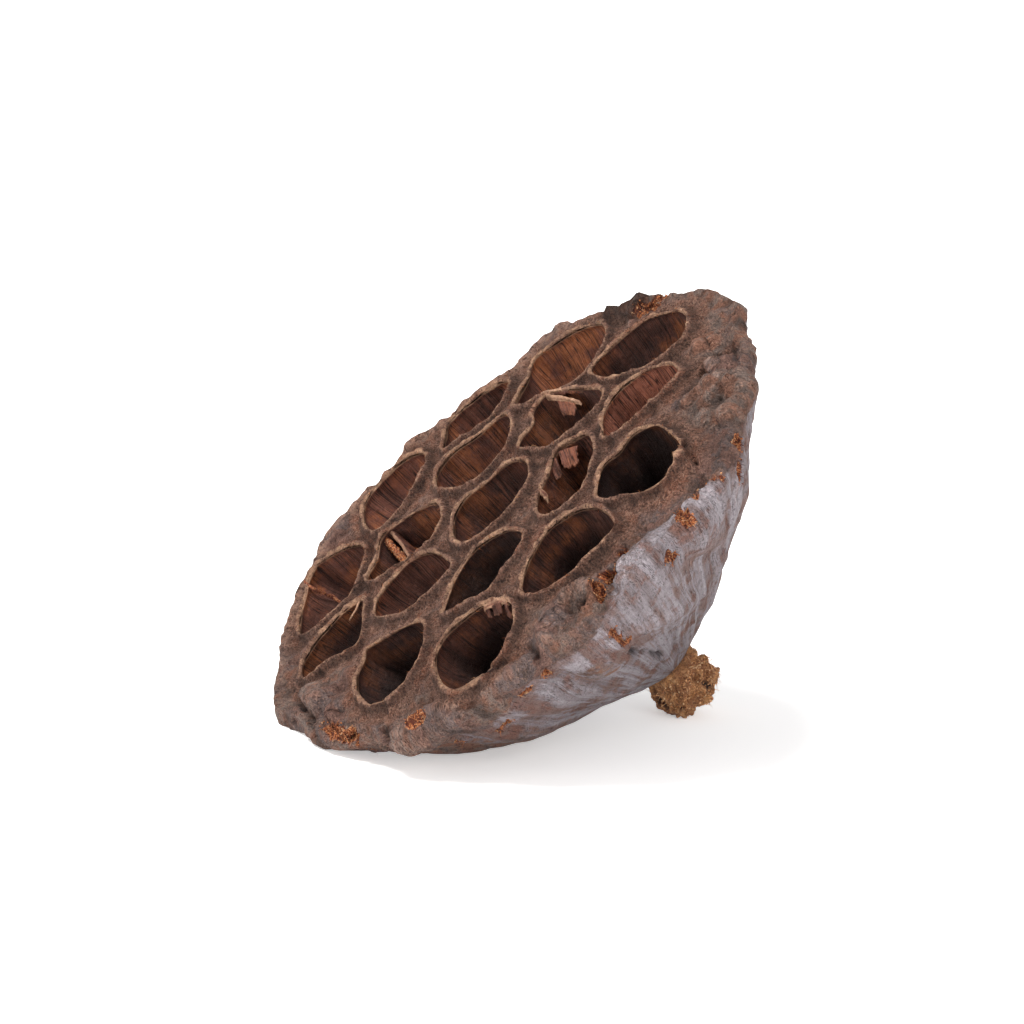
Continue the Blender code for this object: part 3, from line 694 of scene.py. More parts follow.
def addSide(builder, rim, rimNumbers):
    # rows of the side from the rim to the neck, halved twice on the way, then up into the socket
    angle, _ = polar(rim)
    fall = -faceBase(rim)
    builder.last = rimNumbers
    depth = 0.4
    while depth < pod["neckDepth"] - 0.3:
        wanted = len(rim) if depth < 13 else len(rim) // 2 if depth < 26 else len(rim) // 4
        if wanted < len(angle):
            angle, fall = angle[::2], fall[::2]
        lower = depth + fall * np.clip(1 - depth / 12, 0, 1)
        wax = waxAt(angle, depth)
        for turn, halfTurn, start, end, share in pod["worn"]:
            near = smoothStep(start - 4, start, lower) * smoothStep(end + 4, end, lower)
            wax = wax * (1 - share * hump(angle, turn, halfTurn) * near)
        builder.ring(ringAt(angle, sideRadius(angle, lower), lower),
                     ringAt(angle, pod["grainRadius"], 0.12 * lower), False, margin=1.0, wax=wax,
                     flank=smoothStep(0.0, 4.0, lower),
                     # painted light: the rim's left side painted lighter
                     edge=smoothStep(2.0, 0.4, depth) * paintedLitRim(angle))
        depth += 0.4 if depth < 2 else 0.52
    for radius, depth in pod["neckRows"]:
        builder.ring(ringAt(angle, radius, depth), ringAt(angle, pod["grainRadius"], 0.12 * depth),
                     False, flank=1.0, wax=1.0)
    builder.close((0, 0, -depth), (0, 0, -4.0), False, flank=1.0, wax=1.0)


def podPoints():
    mouths = [mouthLoop(points) for points in podCells.values()]
    rim = rimLoop()
    nearMouth, nearRim = NearestLoop(mouths), NearestLoop([rim])
    flat, faces, place = faceSheet(mouths, rim, nearMouth, nearRim)
    distance = np.maximum(nearMouth.find(flat), 0)
    inset = np.maximum(-nearRim.find(flat), 0)
    level = np.clip(inset / 2.5, 0, 1)
    angle, _ = polar(flat)
    flat3 = np.column_stack([flat, np.zeros(len(flat))])
    shift = np.column_stack([noise(flat3, 4.0, 15), noise(flat3, 4.0, 16), flat3[:, 2]])
    warped = flat3 + shift * 1.4
    # lips of uneven width; between them the web is sunk, and the margin outside them is crumpled
    reach = distance * (1 + 0.35 * noise(flat3, 2.2, 11))
    lipHeight = readOff(pod["lipShape"], reach)
    margin = smoothStep(1.2, 5.0, distance)
    crumpled = 0.45
    for turn, halfWidth, more in pod["crumples"]:
        crumpled = crumpled + more * hump(angle, turn, halfWidth)
    creases = smoothStep(0.22, 0.02, np.abs(roughNoise(warped, 7.0, 17, 2)))
    relief = lipHeight * level + margin * level * (0.95 * roughNoise(warped, 8.0, 12)
                                                   - 1.20 * crumpled * creases)
    relief += margin * level * (0.30 + 0.35 * crumpled) * ridgeNoise(warped, 3.2, 18)
    relief += margin * level * crumpled * 0.22 * ridgeNoise(warped, 1.5, 20)
    relief += 0.40 * noise(flat3, 6.0, 13) * smoothStep(2.0, 0.5, distance) * level
    relief += 0.16 * noise(flat3, 0.8, 14) * smoothStep(0.8, 0.3, reach) * level
    uneven = reach + 0.16 * noise(flat3, 0.7, 19) + 0.12 * noise(flat3, 3.0, 36)
    builder = Builder()
    builder.add(np.column_stack([flat, faceBase(flat) + relief]), flat3,
                lip=smoothStep(0.46, 0.22, uneven) * np.clip(inset / 0.8, 0, 1),
                wax=waxAt(angle, -inset), margin=smoothStep(1.8, 4.5, distance),
                # edge: the rim painted lighter on its left, as painted light
                edge=smoothStep(2.2, 0.3, inset) * paintedLitRim(angle),
                # the next mark is a band just outside each lip where the web gets painted shade, as
                # if sunk in shadow
                trench=smoothStep(0.45, 0.75, reach) * smoothStep(1.9, 1.0, reach))
    builder.faces.append(faces)
    addSide(builder, rim, np.array([place[k] for k in range(len(rim))]))
    for number, (name, loop) in enumerate(zip(podCells, mouths)):
        first = np.array([place[len(rim) + number * len(loop) + k] for k in range(len(loop))])
        addCup(builder, loop, first, name)
    return builder.arrays()


def podRelief(places, grains, marks, faces):
    # fine relief along the skin's normals, and the torn places
    lip, cell, share, flank, wax = map(marks.get, ("lip", "cell", "share", "flank", "wax"))
    outside = 1 - cell
    face = outside * (1 - flank)
    wrinkle = ridgeNoise(grains, 2.6, 21)
    lift = face * (0.28 * wrinkle + 0.20 * noise(grains, 1.1, 22)) * (1 - 0.8 * lip)
    lift += lip * outside * (0.07 * noise(grains, 1.1, 23) + 0.12 * noise(grains, 3.0, 29))
    depth = -places[:, 2]
    calm = np.clip((pod["neckDepth"] - depth) / 6, 0, 1)
    strand = grains * np.array([1, 1, 1.4])
    fold = ridgeNoise(strand + 0.5 * noise(places, 5.0, 33)[:, None], 3.4, 34)
    knobs = 0.32 * ridgeNoise(places, 2.8, 25) * smoothStep(12, 2, depth) * (1 - 0.7 * wax)
    lift += flank * calm * (0.50 * roughNoise(places, 8.0, 24, 2) + knobs + 0.34 * fold
                            + 0.14 * ridgeNoise(strand, 1.3, 26))
    wall = cell * smoothStep(0.02, 0.10, share)
    lift += wall * (0.16 * noise(grains, 1.3, 27) + 0.10 * noise(grains, 0.7, 28)
                    + 0.25 * noise(places, 5.0, 30))
    for reach, height, line in swells:
        lift += outside * height * np.exp(-(lineDistance(places, line) / reach) ** 2)
    pith, gloom = np.zeros(len(places)), np.zeros(len(places))
    ragged = 0.50 * noise(places, 0.6, 31) + 0.20 * noise(places, 2.2, 32)
    for reach, deep, line in tears:
        away = lineDistance(places, line)
        near = outside * (1 - smoothStep(reach * 0.55, reach * 1.10, away + ragged * reach))
        pith = np.maximum(pith, near)
        lift -= near * deep * (0.9 + 0.9 * noise(places, 0.6, 35))
        lift += 0.35 * outside * smoothStep(reach * 2.3, reach * 1.2, away) * (1 - near)
    # folds sink the skin and darken it with painted shade
    for reach, deep, line in folds:
        away = lineDistance(places, line) + 0.5 * ragged * reach
        near = 1 - smoothStep(reach * 0.2, reach * 1.1, away)
        gloom = np.maximum(gloom, near)
        lift -= deep * near
    for reach, darkness, line in stains:
        near = np.exp(-(lineDistance(places, line) / reach + 0.4 * ragged) ** 2)
        gloom = np.maximum(gloom, darkness * near * outside)
    # 1 on the crests and in the cells, lower in the wrinkles' valleys, where the web gets painted
    # shade
    crest = np.clip(0.62 + 0.60 * wrinkle + lip, 0, 1) * outside + cell
    return places + pointNormals(places, faces) * lift[:, None], pith, gloom, crest


def clearOfFloor(places):
    # 0 near the floor, 1 from two millimetres above it
    turned = np.array(podToPart)
    return smoothStep(0.8, 2.0, places @ turned[2, :3] + turned[2, 3] / mm)


def makePiece(name, places, faces, numbers, vectors, material):
    # numbers and vectors are named values of the points that the material reads
    flat = np.column_stack([places * mm, np.ones(len(places))])
    world = (flat @ np.array(podToPart).T)[:, :3]
    world[:, 2] = np.maximum(world[:, 2], 0)
    mesh = bpy.data.meshes.new(name)
    mesh.vertices.add(len(world))
    mesh.vertices.foreach_set("co", world.astype(np.float32).ravel())
    mesh.loops.add(faces.size)
    mesh.loops.foreach_set("vertex_index", faces.astype(np.int32).ravel())
    mesh.polygons.add(len(faces))
    mesh.polygons.foreach_set("loop_start", np.arange(0, faces.size, 3, dtype=np.int32))
    mesh.update(calc_edges=True)
    mesh.validate()
    mesh.shade_smooth()
    for kind, field, marks in (("FLOAT", "value", numbers), ("FLOAT_VECTOR", "vector", vectors)):
        for label, values in marks.items():
            made = mesh.attributes.new(label, kind, "POINT")
            made.data.foreach_set(field, np.asarray(values, np.float32).ravel())
    mesh.materials.append(material)
    return addObject(name, mesh)


skin = {
    "webBrown": (0.275, 0.124, 0.080), "webGrey": (0.235, 0.172, 0.148),
    "webDark": (0.024, 0.011, 0.008), "webBlue": (0.125, 0.112, 0.118),
    "webPale": (0.50, 0.29, 0.205), "webRust": (0.30, 0.105, 0.055),
    "lip": (0.60, 0.350, 0.220), "lipDark": (0.230, 0.110, 0.068),
    "lining": (0.120, 0.035, 0.019), "liningCool": (0.105, 0.042, 0.035),
    "liningRed": (0.42, 0.150, 0.092), "liningGoldHighlight": (0.42, 0.135, 0.042),
    "liningDeep": (0.011, 0.0022, 0.0009), "liningPale": (0.34, 0.15, 0.105),
    "bloom": (0.42, 0.37, 0.40), "bloomGrey": (0.27, 0.22, 0.23),
    "sideBrown": (0.215, 0.112, 0.085), "sideRed": (0.22, 0.092, 0.062),
    "pith": (0.46, 0.130, 0.045), "pithGold": (0.66, 0.32, 0.14), "pithDark": (0.10, 0.022, 0.010),
}

# every number the pod's skin reads, with its usual value
usualMarks = {"lip": 0.0, "cell": 0.0, "share": 0.0, "wax": 0.0, "red": 0.3, "dark": 0.3,
              "pith": 0.0, "gloom": 0.0, "crest": 1.0, "margin": 0.0, "edge": 0.0, "trench": 0.0}


def podMarks(count, **given):
    marks = {**usualMarks, **given}
    return {label: np.broadcast_to(values, count) for label, values in marks.items()}


def podSkin():
    finish = Finish("podSkin", skin)
    between, coats, cloud, lines = finish.between, finish.coats, finish.noise, finish.lines
    grain, place = finish.mark("grain", "Vector"), finish.mark("spot", "Vector")
    lip, cell, share, wax, red, dark, *others = map(finish.mark, usualMarks)
    pith, gloom, crest, margin, edge, trench = others

    broad = cloud(place, 0.11, 3)
    patch = cloud(place, 0.34, 5, 0.65)
    mottle = cloud(place, 0.85, 4, 0.72, 0.6)
    felt = cloud(place, 1.9, 3, 0.68, 1.2)
    grit = cloud(place, 3.4, 2, 0.6)
    strand = cloud(grain, 0.75, 2, 0.5, 0.3)
    strandFine = cloud(grain, 1.9, 3, 0.6, 0.2)
    streak = cloud(grain, 0.40, 3, 0.6)

    # felted web: brown and grey, speckled pale and dark, blue-grey and rusty in places
    lipTone = coats("lip",
                    (felt, 0.56, 0.40, 0.45, "lipDark"),
                    (patch, 0.46, 0.60, 0.70, "lipDark"))
    web = coats("webBrown",
                (patch, 0.40, 0.60, 0.25 + 0.75 * margin, "webGrey"),
                (broad, 0.48, 0.60, margin * 0.75, "webBlue"),
                (patch * broad, 0.27, 0.33, 0.75 - 0.30 * margin, "webRust"),
                (mottle, 0.52, 0.64, 0.60, "webDark"),
                (felt, 0.52, 0.64, 0.62 - 0.46 * margin, "webPale"),
                (felt, 0.48, 0.40, 0.66 - 0.36 * margin, "webDark"),
                (grit, 0.54, 0.66, 0.50 - 0.20 * margin, "webPale"),
                (grit, 0.45, 0.36, 0.55 - 0.25 * margin, "webDark"),
                # painted shade in the valleys of the wrinkles
                ((1 - crest) * 0.62, "webDark"),
                # painted shade on the web close to the lips, and in the sunk band just outside them
                (lip, 0.6, 0.0, (1 - margin) * 0.15, "webDark"),
                (trench * 0.48, "webDark"),
                # painted light: the rim painted paler on its left side
                (mottle, 0.62, 0.44, edge * 0.55, "webPale"),
                (mottle, 0.70, 0.46, lip * (0.50 + 0.50 * between(patch, 0.58, 0.44)), lipTone))

    # waxy bloom of the side, worn through to brown in patches and streaks
    side = coats("bloom",
                 (between(streak, 0.38, 0.62), "bloomGrey"),
                 (broad + streak * 0.5, 0.74, 0.90, 0.75, "sideBrown"),
                 (patch + streak * 0.6, 0.80, 0.98, 0.70, "sideRed"),
                 (strandFine, 0.55, 0.68, 0.45, "sideBrown"),
                 (mottle, 0.56, 0.70, 0.30, "webDark"),
                 (felt, 0.44, 0.34, 0.45, "webDark"),
                 (patch, 0.40, 0.55, lines(strandFine, 0.5, 0.030) * 0.75, "webDark"))
    waxy = between(wax + (patch - 0.5) * 1.1 + (mottle - 0.5) * 0.8, 0.30, 0.64)

    # linings: silky red-brown with thin dark lines, a golden painted highlight under the lip, and
    # painted shade in patches, set cell by cell and growing with depth
    goldHighlight = between(broad + patch * 0.4, 0.74, 0.56) * 0.90
    # painted shade: more in the darker-set cells, and more further down each cell
    gloomy = dark + (patch - 0.5) * 0.5 + share * dark * 1.5
    lining = coats("lining",
                   (between(patch, 0.42, 0.58), "liningCool"),
                   # golden painted highlight near the top of each wall
                   (share + (broad - 0.5) * 1.2, 0.60, 0.10, goldHighlight, "liningGoldHighlight"),
                   # dark patches: painted shade within the cells
                   (broad + patch * 0.5, 0.72, 0.88, 0.75, "liningDeep"),
                   (share + (mottle - 0.5) * 0.5, 0.80, 0.10, red, "liningRed"),
                   (streak, 0.52, 0.68, 0.35, "liningPale"),
                   (streak, 0.47, 0.34, 0.35, "liningDeep"),
                   (strandFine, 0.50, 0.64, 0.25, "liningDeep"),
                   (lines(strand, 0.50, 0.024) * 0.90, "liningDeep"),
                   (lines(strand, 0.42, 0.020) * 0.80, "liningDeep"),
                   (lines(strand, 0.58, 0.020) * 0.80, "liningDeep"),
                   # painted shade growing down each cell, and the darkness set for each cell
                   (between(share + (patch - 0.5) * 0.30, 0.22, 0.85), "liningDeep"),
                   (between(gloomy, 0.0, 1.2), "liningDeep"),
                   (lip * 0.90, lipTone))

    pithTone = coats("pithDark",
                     (between(felt, 0.46, 0.56), "pith"),
                     (felt, 0.56, 0.64, 0.85, "pithGold"),
                     # darker along the middle of each tear: painted shade in its deepest part, on
                     # top of the pith's own dark patches
                     (pith + (mottle - 0.5) * 1.2, 0.85, 1.05, 0.75, "pithDark"))
    feltShare = (1 - cell) * (1 - 0.55 * wax)
    return finish.surface({
        "Base Color": coats(web, (waxy, side), (cell, lining),
                            # painted shade in the folds and cracks, with the real dark stains
                            (between(pith, 0.20, 0.45), pithTone), (gloom * 0.85, "liningDeep")),
        "Roughness": 0.82 + 0.2 * mottle - 0.25 * wax * (1 - patch) - 0.34 * cell * (1 - share),
        "Specular IOR Level": 0.35,
        "Normal": finish.relief(
            (strandFine * (cell + 1.8 * wax) + strand * (cell + 1.2 * wax), 0.0010),
            (mottle * (1 - 0.7 * cell) * (1 - 0.6 * wax), 0.0022),
            (felt * (0.15 + feltShare * (1 - 0.35 * margin)), 0.0013),
            (grit * (0.10 + feltShare), 0.0004))})


places, grains, marks, faces = podPoints()
print("pod: sheet, cells and side laid out,", len(faces), "faces")
shaped, pith, gloom, crest = podRelief(places, grains, marks, faces)
skinFinish = podSkin()
numbers = podMarks(len(places), **marks, pith=pith * clearOfFloor(shaped), gloom=gloom, crest=crest)
vectors = {"grain": grains, "spot": places}
podPiece = makePiece("pod_skin", shaped, faces, numbers, vectors, skinFinish)
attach(podPiece, "root")
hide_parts("pod")
print("pod: skin made")


# ---- torn walls, flaps and shards that stand in the cells

torn = {
    "columns": 64, "lines": 26, "firstSeed": 60,
    # each sheet: rows of control points from edge to edge, thickness, how ragged its four edges
    # are (first row, last row, row starts, row ends), how pale, redness, darkness as painted shade,
    # share of pith
    "sheets": {
        "flap_l": ([
            [(-27.2, -17.1, 0.1), (-24.9, -16.8, -0.5), (-21.4, -16.7, -1), (-17.8, -16.7, -1.3),
             (-14.2, -16.8, -1.5), (-10.9, -16.9, -1.4)],
            [(-26.4, -16.4, -2), (-24.2, -16.2, -2.6), (-20.8, -16.1, -3), (-17.2, -16.2, -3.3),
             (-13.6, -16.4, -3.4), (-10.9, -16.6, -3.4)],
            [(-25.2, -16.2, -8.4), (-23.2, -16.1, -8.6), (-20, -16, -8.8), (-16.6, -16.1, -8.8),
             (-13.2, -16.3, -8.8), (-10.9, -16.4, -8.6)],
        ], 0.55, (0.16, 0.1, 0, 0), (0.45, 0, 0, 0), 0.3, 0.25, 0),
        "pith_l": ([
            [(-26.8, -17.8, -0.2), (-24.6, -17.7, -0.9), (-21.2, -17.6, -1.5), (-17.6, -17.5, -1.8),
             (-14.6, -17.4, -2)],
            [(-26, -18.3, -2.6), (-24.2, -18.4, -3.4), (-20.8, -18.3, -3.9), (-17.2, -18, -4),
             (-14.2, -17.7, -3.8)],
        ], 0.9, (0.4, 0.5, 0.2, 0.15), (0, 0, 0, 0), 0.6, 0.3, 0.75),
        "bar_e_upper": ([
            [(-21.9, 14.7, -0.1), (-20.9, 15.5, -0.1), (-18.8, 16.6, -0.1), (-16.6, 17.8, -0.1),
             (-14.4, 19, -0.3), (-12.6, 19.8, -0.7)],
            [(-21.6, 14.5, -1.6), (-20.6, 15.2, -1.7), (-18.6, 16.3, -1.5), (-16.4, 17.5, -1.4),
             (-14.2, 18.7, -1.4), (-12.6, 19.6, -1.4)],
        ], 0.4, (0.1, 0.3, 0, 0.15), (1, 0, 0, 1), 0.3, 0.2, 0),
        "bar_e_lower": ([
            [(-21.2, 14.9, -0.3), (-19.6, 15.5, -0.5), (-17.2, 16.4, -0.7), (-14.8, 17.2, -1),
             (-12.6, 17.9, -1.3), (-11.2, 18.1, -1.9)],
            [(-21, 14.6, -1.7), (-19.4, 15.2, -1.6), (-17, 16.1, -1.7), (-14.6, 16.9, -2),
             (-12.4, 17.6, -2.2), (-11.2, 17.9, -2.4)],
        ], 0.4, (0.12, 0.25, 0, 0.2), (1, 0.4, 0, 1), 0.3, 0.2, 0),
        "scrap_e": ([
            [(-18.1, 15.6, -1.2), (-15.6, 16.5, -1.5), (-12.9, 17.4, -1.8)],
            [(-17.2, 15, -2.2), (-14.8, 15.9, -2.4), (-12.6, 16.6, -2.6)],
            [(-16.2, 14.7, -3.2), (-14.2, 15.4, -3.4), (-12.6, 16, -3.3)],
        ], 0.3, (0, 0.25, 0.08, 0.12), (0, 0.1, 0, 0), 0.55, 0.3, 0),
        "scrap_h_high": ([
            [(-0.9, 10.4, -0.3), (-0.4, 11.6, -0.6), (0.2, 12.5, -0.9), (1, 13.5, -1.2)],
            [(0.2, 9.8, -1.3), (0.7, 10.8, -1.7), (1.1, 11.7, -1.9), (1.7, 12.6, -2.1)],
            [(1, 9.2, -2.4), (1.6, 9.9, -3), (1.9, 10.9, -3.1), (2.2, 11.9, -3)],
        ], 0.3, (0, 0.28, 0.1, 0.25), (0, 0.1, 0, 0), 0.5, 0.3, 0),
        "scrap_h_mid": ([
            [(0.6, 8.6, -0.3), (0.2, 9.3, -0.4), (-0.2, 10, -0.5)],
            [(2, 7.9, -1.2), (1.7, 8.7, -1.6), (1.1, 9.3, -1.5)],
            [(3, 7.6, -2.1), (2.6, 8.3, -2.7), (1.9, 8.8, -2.4)],
        ], 0.3, (0, 0.3, 0.1, 0.1), (0, 0.1, 0, 0), 0.45, 0.35, 0),
        "lip_h_low": ([
            [(4.6, 5, -0.2), (5.2, 5.3, -0.7), (6, 5.1, -1.6)],
            [(6.2, 4.3, -0.5), (6.9, 4.3, -1.2), (7.2, 4.3, -2.2)],
        ], 0.45, (0.2, 0.35, 0.1, 0.1), (1, 1, 1, 1), 0.4, 0.3, 0),
        "end_m": ([
            [(17.2, -13.3, -0.2), (17.5, -12, -0.1), (18, -10.6, -0.1), (18.7, -9.6, -0.3)],
            [(17.8, -13.2, -2.4), (18.5, -12.2, -1.8), (19.3, -11.3, -1.2), (19.6, -10.4, -1)],
        ], 0.6, (0.15, 0.35, 0.1, 0.25), (1, 1, 0, 1), 0.4, 0, 0),
        "lip_mo": ([
            [(20.4, -12, -0.7), (21.4, -11, -0.2), (22.5, -9.9, -0.1), (23.8, -9, -0.1),
             (25.2, -8.6, -0.3)],
            [(20.7, -12.3, -1.6), (21.8, -11.4, -1.3), (22.9, -10.3, -1.3), (24.2, -9.3, -1.3),
             (25.6, -8.9, -1.3)],
        ], 0.45, (0.2, 0.3, 0.2, 0), (0.8, 0.3, 0.8, 0), 0.5, 0.2, 0),
        "shard_o_left": ([
            [(20.9, -12, -1), (21.9, -11.2, -0.9)],
            [(21.8, -12.5, -2.4), (22.6, -11.9, -2.4)],
        ], 0.25, (0, 0.3, 0.15, 0.2), (0, 0.1, 0, 0), 0.4, 0.4, 0),
        "shard_o_mid": ([
            [(22.2, -10.9, -0.8), (23.3, -10, -0.6), (24.3, -9.5, -0.6)],
            [(22.7, -11.8, -2.2), (23.6, -11, -2.3), (24.5, -10.3, -2)],
        ], 0.25, (0, 0.25, 0.1, 0.15), (0, 0.1, 0, 0), 0.4, 0.4, 0),
        "shard_o_right": ([
            [(24.6, -9.3, -0.8), (26, -8.9, -0.9)],
            [(25, -10.4, -2.8), (26.2, -9.9, -3)],
        ], 0.25, (0, 0.25, 0.1, 0.15), (0, 0.1, 0, 0), 0.4, 0.4, 0),
        "sliver_q": ([
            [(-11.7, -25.2, -0.2), (-12.9, -25.5, -0.2), (-13, -26.5, -0.4), (-12.6, -28, -0.9),
             (-12.3, -29.9, -1.6)],
            [(-11.6, -25.7, -0.3), (-12.4, -25.9, -0.3), (-12.5, -26.6, -0.5), (-12.3, -28, -1),
             (-12.2, -29.9, -1.65)],
        ], 0.3, (0.1, 0.1, 0, 0.1), (1, 1, 1, 1), 0.3, 0, 0),
        "flap_p": ([
            [(-33.6, -31.9, 0.1), (-31.8, -31.5, -0.9), (-31.9, -30.9, -2.6), (-31.8, -30.2, -4.4),
             (-30.6, -29.7, -6.3)],
            [(-33.2, -32.4, -0.1), (-31.6, -32.2, -1.2), (-31.8, -31.6, -2.9), (-31.7, -30.9, -4.8),
             (-30.4, -30.4, -6.6)],
        ], 0.3, (0.45, 0.1, 0, 0.1), (0, 0, 0, 0), 0.7, 0.1, 0.35),
    },
}


def sheetPoints(rows, thickness, frays, pale, seed):
    # a thin sheet with ragged edges; returns points, grain, the paleness near its edges, faces
    columns, lines = torn["columns"], torn["lines"]
    count = columns * lines
    dense = np.stack([smoothLine(row, columns) for row in rows])
    dense = np.stack([smoothLine(dense[:, k], lines) for k in range(columns)], axis=1)
    across, down = np.meshgrid(np.arange(columns) / (columns - 1), np.arange(lines) / (lines - 1))

    def bite(edge, number):
        rough = (0.5 + 0.35 * noise(edge, 1.3, seed + number)
                 + 0.35 * noise(edge, 0.45, seed + 9 + number))
        return frays[number] * np.clip(rough, 0, 1)

    top, bottom = bite(dense[0], 0), 1 - bite(dense[-1], 1)
    left, right = bite(dense[:, 0], 2), 1 - bite(dense[:, -1], 3)
    v = top + (bottom - top) * down
    u = left[:, None] + (right - left)[:, None] * across
    width, height = (np.linalg.norm(np.diff(dense.mean(axis=side), axis=0), axis=1).sum()
                     for side in (0, 1))
    a, b = u * (columns - 1), v * (lines - 1)
    i, j = np.minimum(a.astype(int), columns - 2), np.minimum(b.astype(int), lines - 2)
    s, t = (a - i)[..., None], (b - j)[..., None]
    sheet = ((dense[j, i] * (1 - s) + dense[j, i + 1] * s) * (1 - t)
             + (dense[j + 1, i] * (1 - s) + dense[j + 1, i + 1] * s) * t)
    normal = np.cross(np.gradient(sheet, axis=1), np.gradient(sheet, axis=0))
    normal /= np.maximum(np.linalg.norm(normal, axis=2), 1e-9)[..., None]
    flat = sheet.reshape(-1, 3)
    wavy = 0.16 * noise(flat, 0.9, seed + 20) + 0.12 * noise(flat, 2.4, seed + 21)
    sheet = sheet + normal * wavy.reshape(lines, columns, 1)
    reaches = np.stack([down * height, (1 - down) * height, across * width, (1 - across) * width])
    half = thickness / 2 * np.clip(0.35 + reaches.min(axis=0) / (0.8 * thickness), 0, 1) ** 0.6
    paleReach = np.where(np.array(pale)[:, None, None] > 0, reaches, 9).min(axis=0)
    paleness = max(pale) * smoothStep(0.75, 0.25, paleReach)
    grain = np.stack([u * width, np.full_like(u, seed * 3.0), v * height * 0.12], axis=2)
    places = np.vstack([(sheet + normal * side * half[..., None]).reshape(-1, 3)
                        for side in (1, -1)])
    number = np.arange(count).reshape(lines, columns)
    one, two, three, four = number[:-1, :-1], number[:-1, 1:], number[1:, 1:], number[1:, :-1]
    faces = [np.stack(corners, axis=2).reshape(-1, 3)
             for corners in ((one, two, three), (one, three, four))]
    faces += [f[:, ::-1] + count for f in faces]
    loop = np.concatenate([number[0, :-1], number[:-1, -1], number[-1, :0:-1], number[:0:-1, 0]])
    following = np.roll(loop, -1)
    faces += [np.column_stack([loop, loop + count, following + count]),
              np.column_stack([loop, following + count, following])]
    grains = np.tile(grain.reshape(-1, 3), (2, 1))
    return places, grains, np.tile(paleness.ravel(), 2), np.vstack(faces)


for order, (name, (*form, red, dark, pithy)) in enumerate(torn["sheets"].items()):
    places, grains, paleness, faces = sheetPoints(*form, torn["firstSeed"] + 2 * order)
    marks = podMarks(len(places), lip=paleness, cell=1.0, share=0.10, red=red, dark=dark,
                     pith=pithy)
    scrap = makePiece(name, places, faces, marks, {"grain": grains, "spot": places}, skinFinish)
    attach(scrap, "root")
print("torn walls and shards: made,", len(torn["sheets"]))


# ---- the stalk

stalk = {
    "sides": 144, "rows": 100, "top": 33.8, "end": 44.6, "footTurn": 285.0, "roughStart": 36.4,
    "shape": [(33.8, 2.9), (34.4, 3.3), (36.5, 3.3), (37.0, 4.1), (38.0, 4.4), (39.2, 4.3),
              (40.6, 4.6), (42.2, 4.9), (43.6, 4.6), (44.6, 3.2)],
    "endRings": (0.88, 0.75, 0.6, 0.45, 0.3, 0.15), "endHollow": 0.6,
    "ochre": (0.68, 0.315, 0.122), "brown": (0.40, 0.165, 0.066), "dark": (0.035, 0.014, 0.007),
    "pale": (0.76, 0.46, 0.25), "rust": (0.46, 0.165, 0.060),
}


def stalkSkin():
    finish = Finish("stalkCork", stalk)
    place = finish.mark("spot", "Vector")
    drawn = finish.vectors("MULTIPLY", {0: place, 1: (1.0, 1.0, 0.22)})
    patch = finish.noise(place, 0.45, 4, 0.65)
    fine = finish.noise(place, 2.0, 5, 0.75)
    grit = finish.noise(place, 5.0, 3, 0.7)
    fibre = finish.noise(drawn, 2.8, 4, 0.65, 0.4)
    return finish.surface({
        "Base Color": finish.coats("ochre",
                                   (finish.between(patch, 0.36, 0.62), "brown"),
                                   (fine, 0.52, 0.68, 0.7, "rust"),
                                   (fibre, 0.52, 0.68, 0.7, "pale"),
                                   (finish.lines(fibre, 0.46, 0.03) * 0.8, "dark"),
                                   (grit, 0.44, 0.34, 0.6, "dark"),
                                   # the pits painted dark: painted shade in them
                                   (finish.mark("holeShade"), "dark")),
        "Roughness": 0.82 + 0.15 * fine,
        "Normal": finish.relief((fibre, 0.0009), (grit + fine, 0.0006))})


def stalkPoints():
    builder = Builder()
    angle = np.arange(stalk["sides"]) * 2 * np.pi / stalk["sides"]
    for depth in np.linspace(stalk["top"], stalk["end"], stalk["rows"]):
        rough = np.clip((depth - stalk["roughStart"]) / 3, 0, 1)
        bumps = 0.35 * np.sin(5 * angle + depth) + 0.25 * np.sin(8 * angle - 1.7 * depth)
        foot = 0.6 * hump(angle, stalk["footTurn"], 40)
        ring = ringAt(angle, readOff(stalk["shape"], depth) + rough * (bumps + foot), depth)
        builder.ring(ring, ring, False, flank=rough)
        if depth == stalk["top"]:
            builder.close((0, 0, -depth), (0, 0, -depth), True)
    for narrow in stalk["endRings"]:
        raised = np.array([0, 0, stalk["endHollow"] * (1 - narrow)])
        inner = ring * np.array([narrow, narrow, 1]) + raised
        builder.ring(inner, inner, False, flank=1.0)
    builder.close((0, 0, 0.65 - stalk["end"]), (0, 0, -stalk["end"]), False, flank=1.0)
    return builder.arrays()


places, grains, marks, faces = stalkPoints()
rough = marks["flank"]
# pits in the stalk: sunk, and painted dark as painted shade
holes = smoothStep(0.36, 0.66, noise(places, 1.7, 44)) * rough
lift = rough * (0.42 * ridgeNoise(places, 1.5, 41) + 0.24 * noise(places, 0.6, 42)
                + 0.35 * noise(places, 2.6, 43))
lift -= 0.18 * rough + 0.75 * holes
shaped = places + pointNormals(places, faces) * lift[:, None]
numbers = {"rough": rough * clearOfFloor(shaped), "holeShade": holes}
stalkPiece = makePiece("stalk_end", shaped, faces, numbers, {"spot": places}, stalkSkin())
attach(stalkPiece, "root")
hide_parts("stem_stub")
print("stalk: made")


# ---- crumbs, burrs and fibres, scattered over the finished pieces by Geometry Nodes

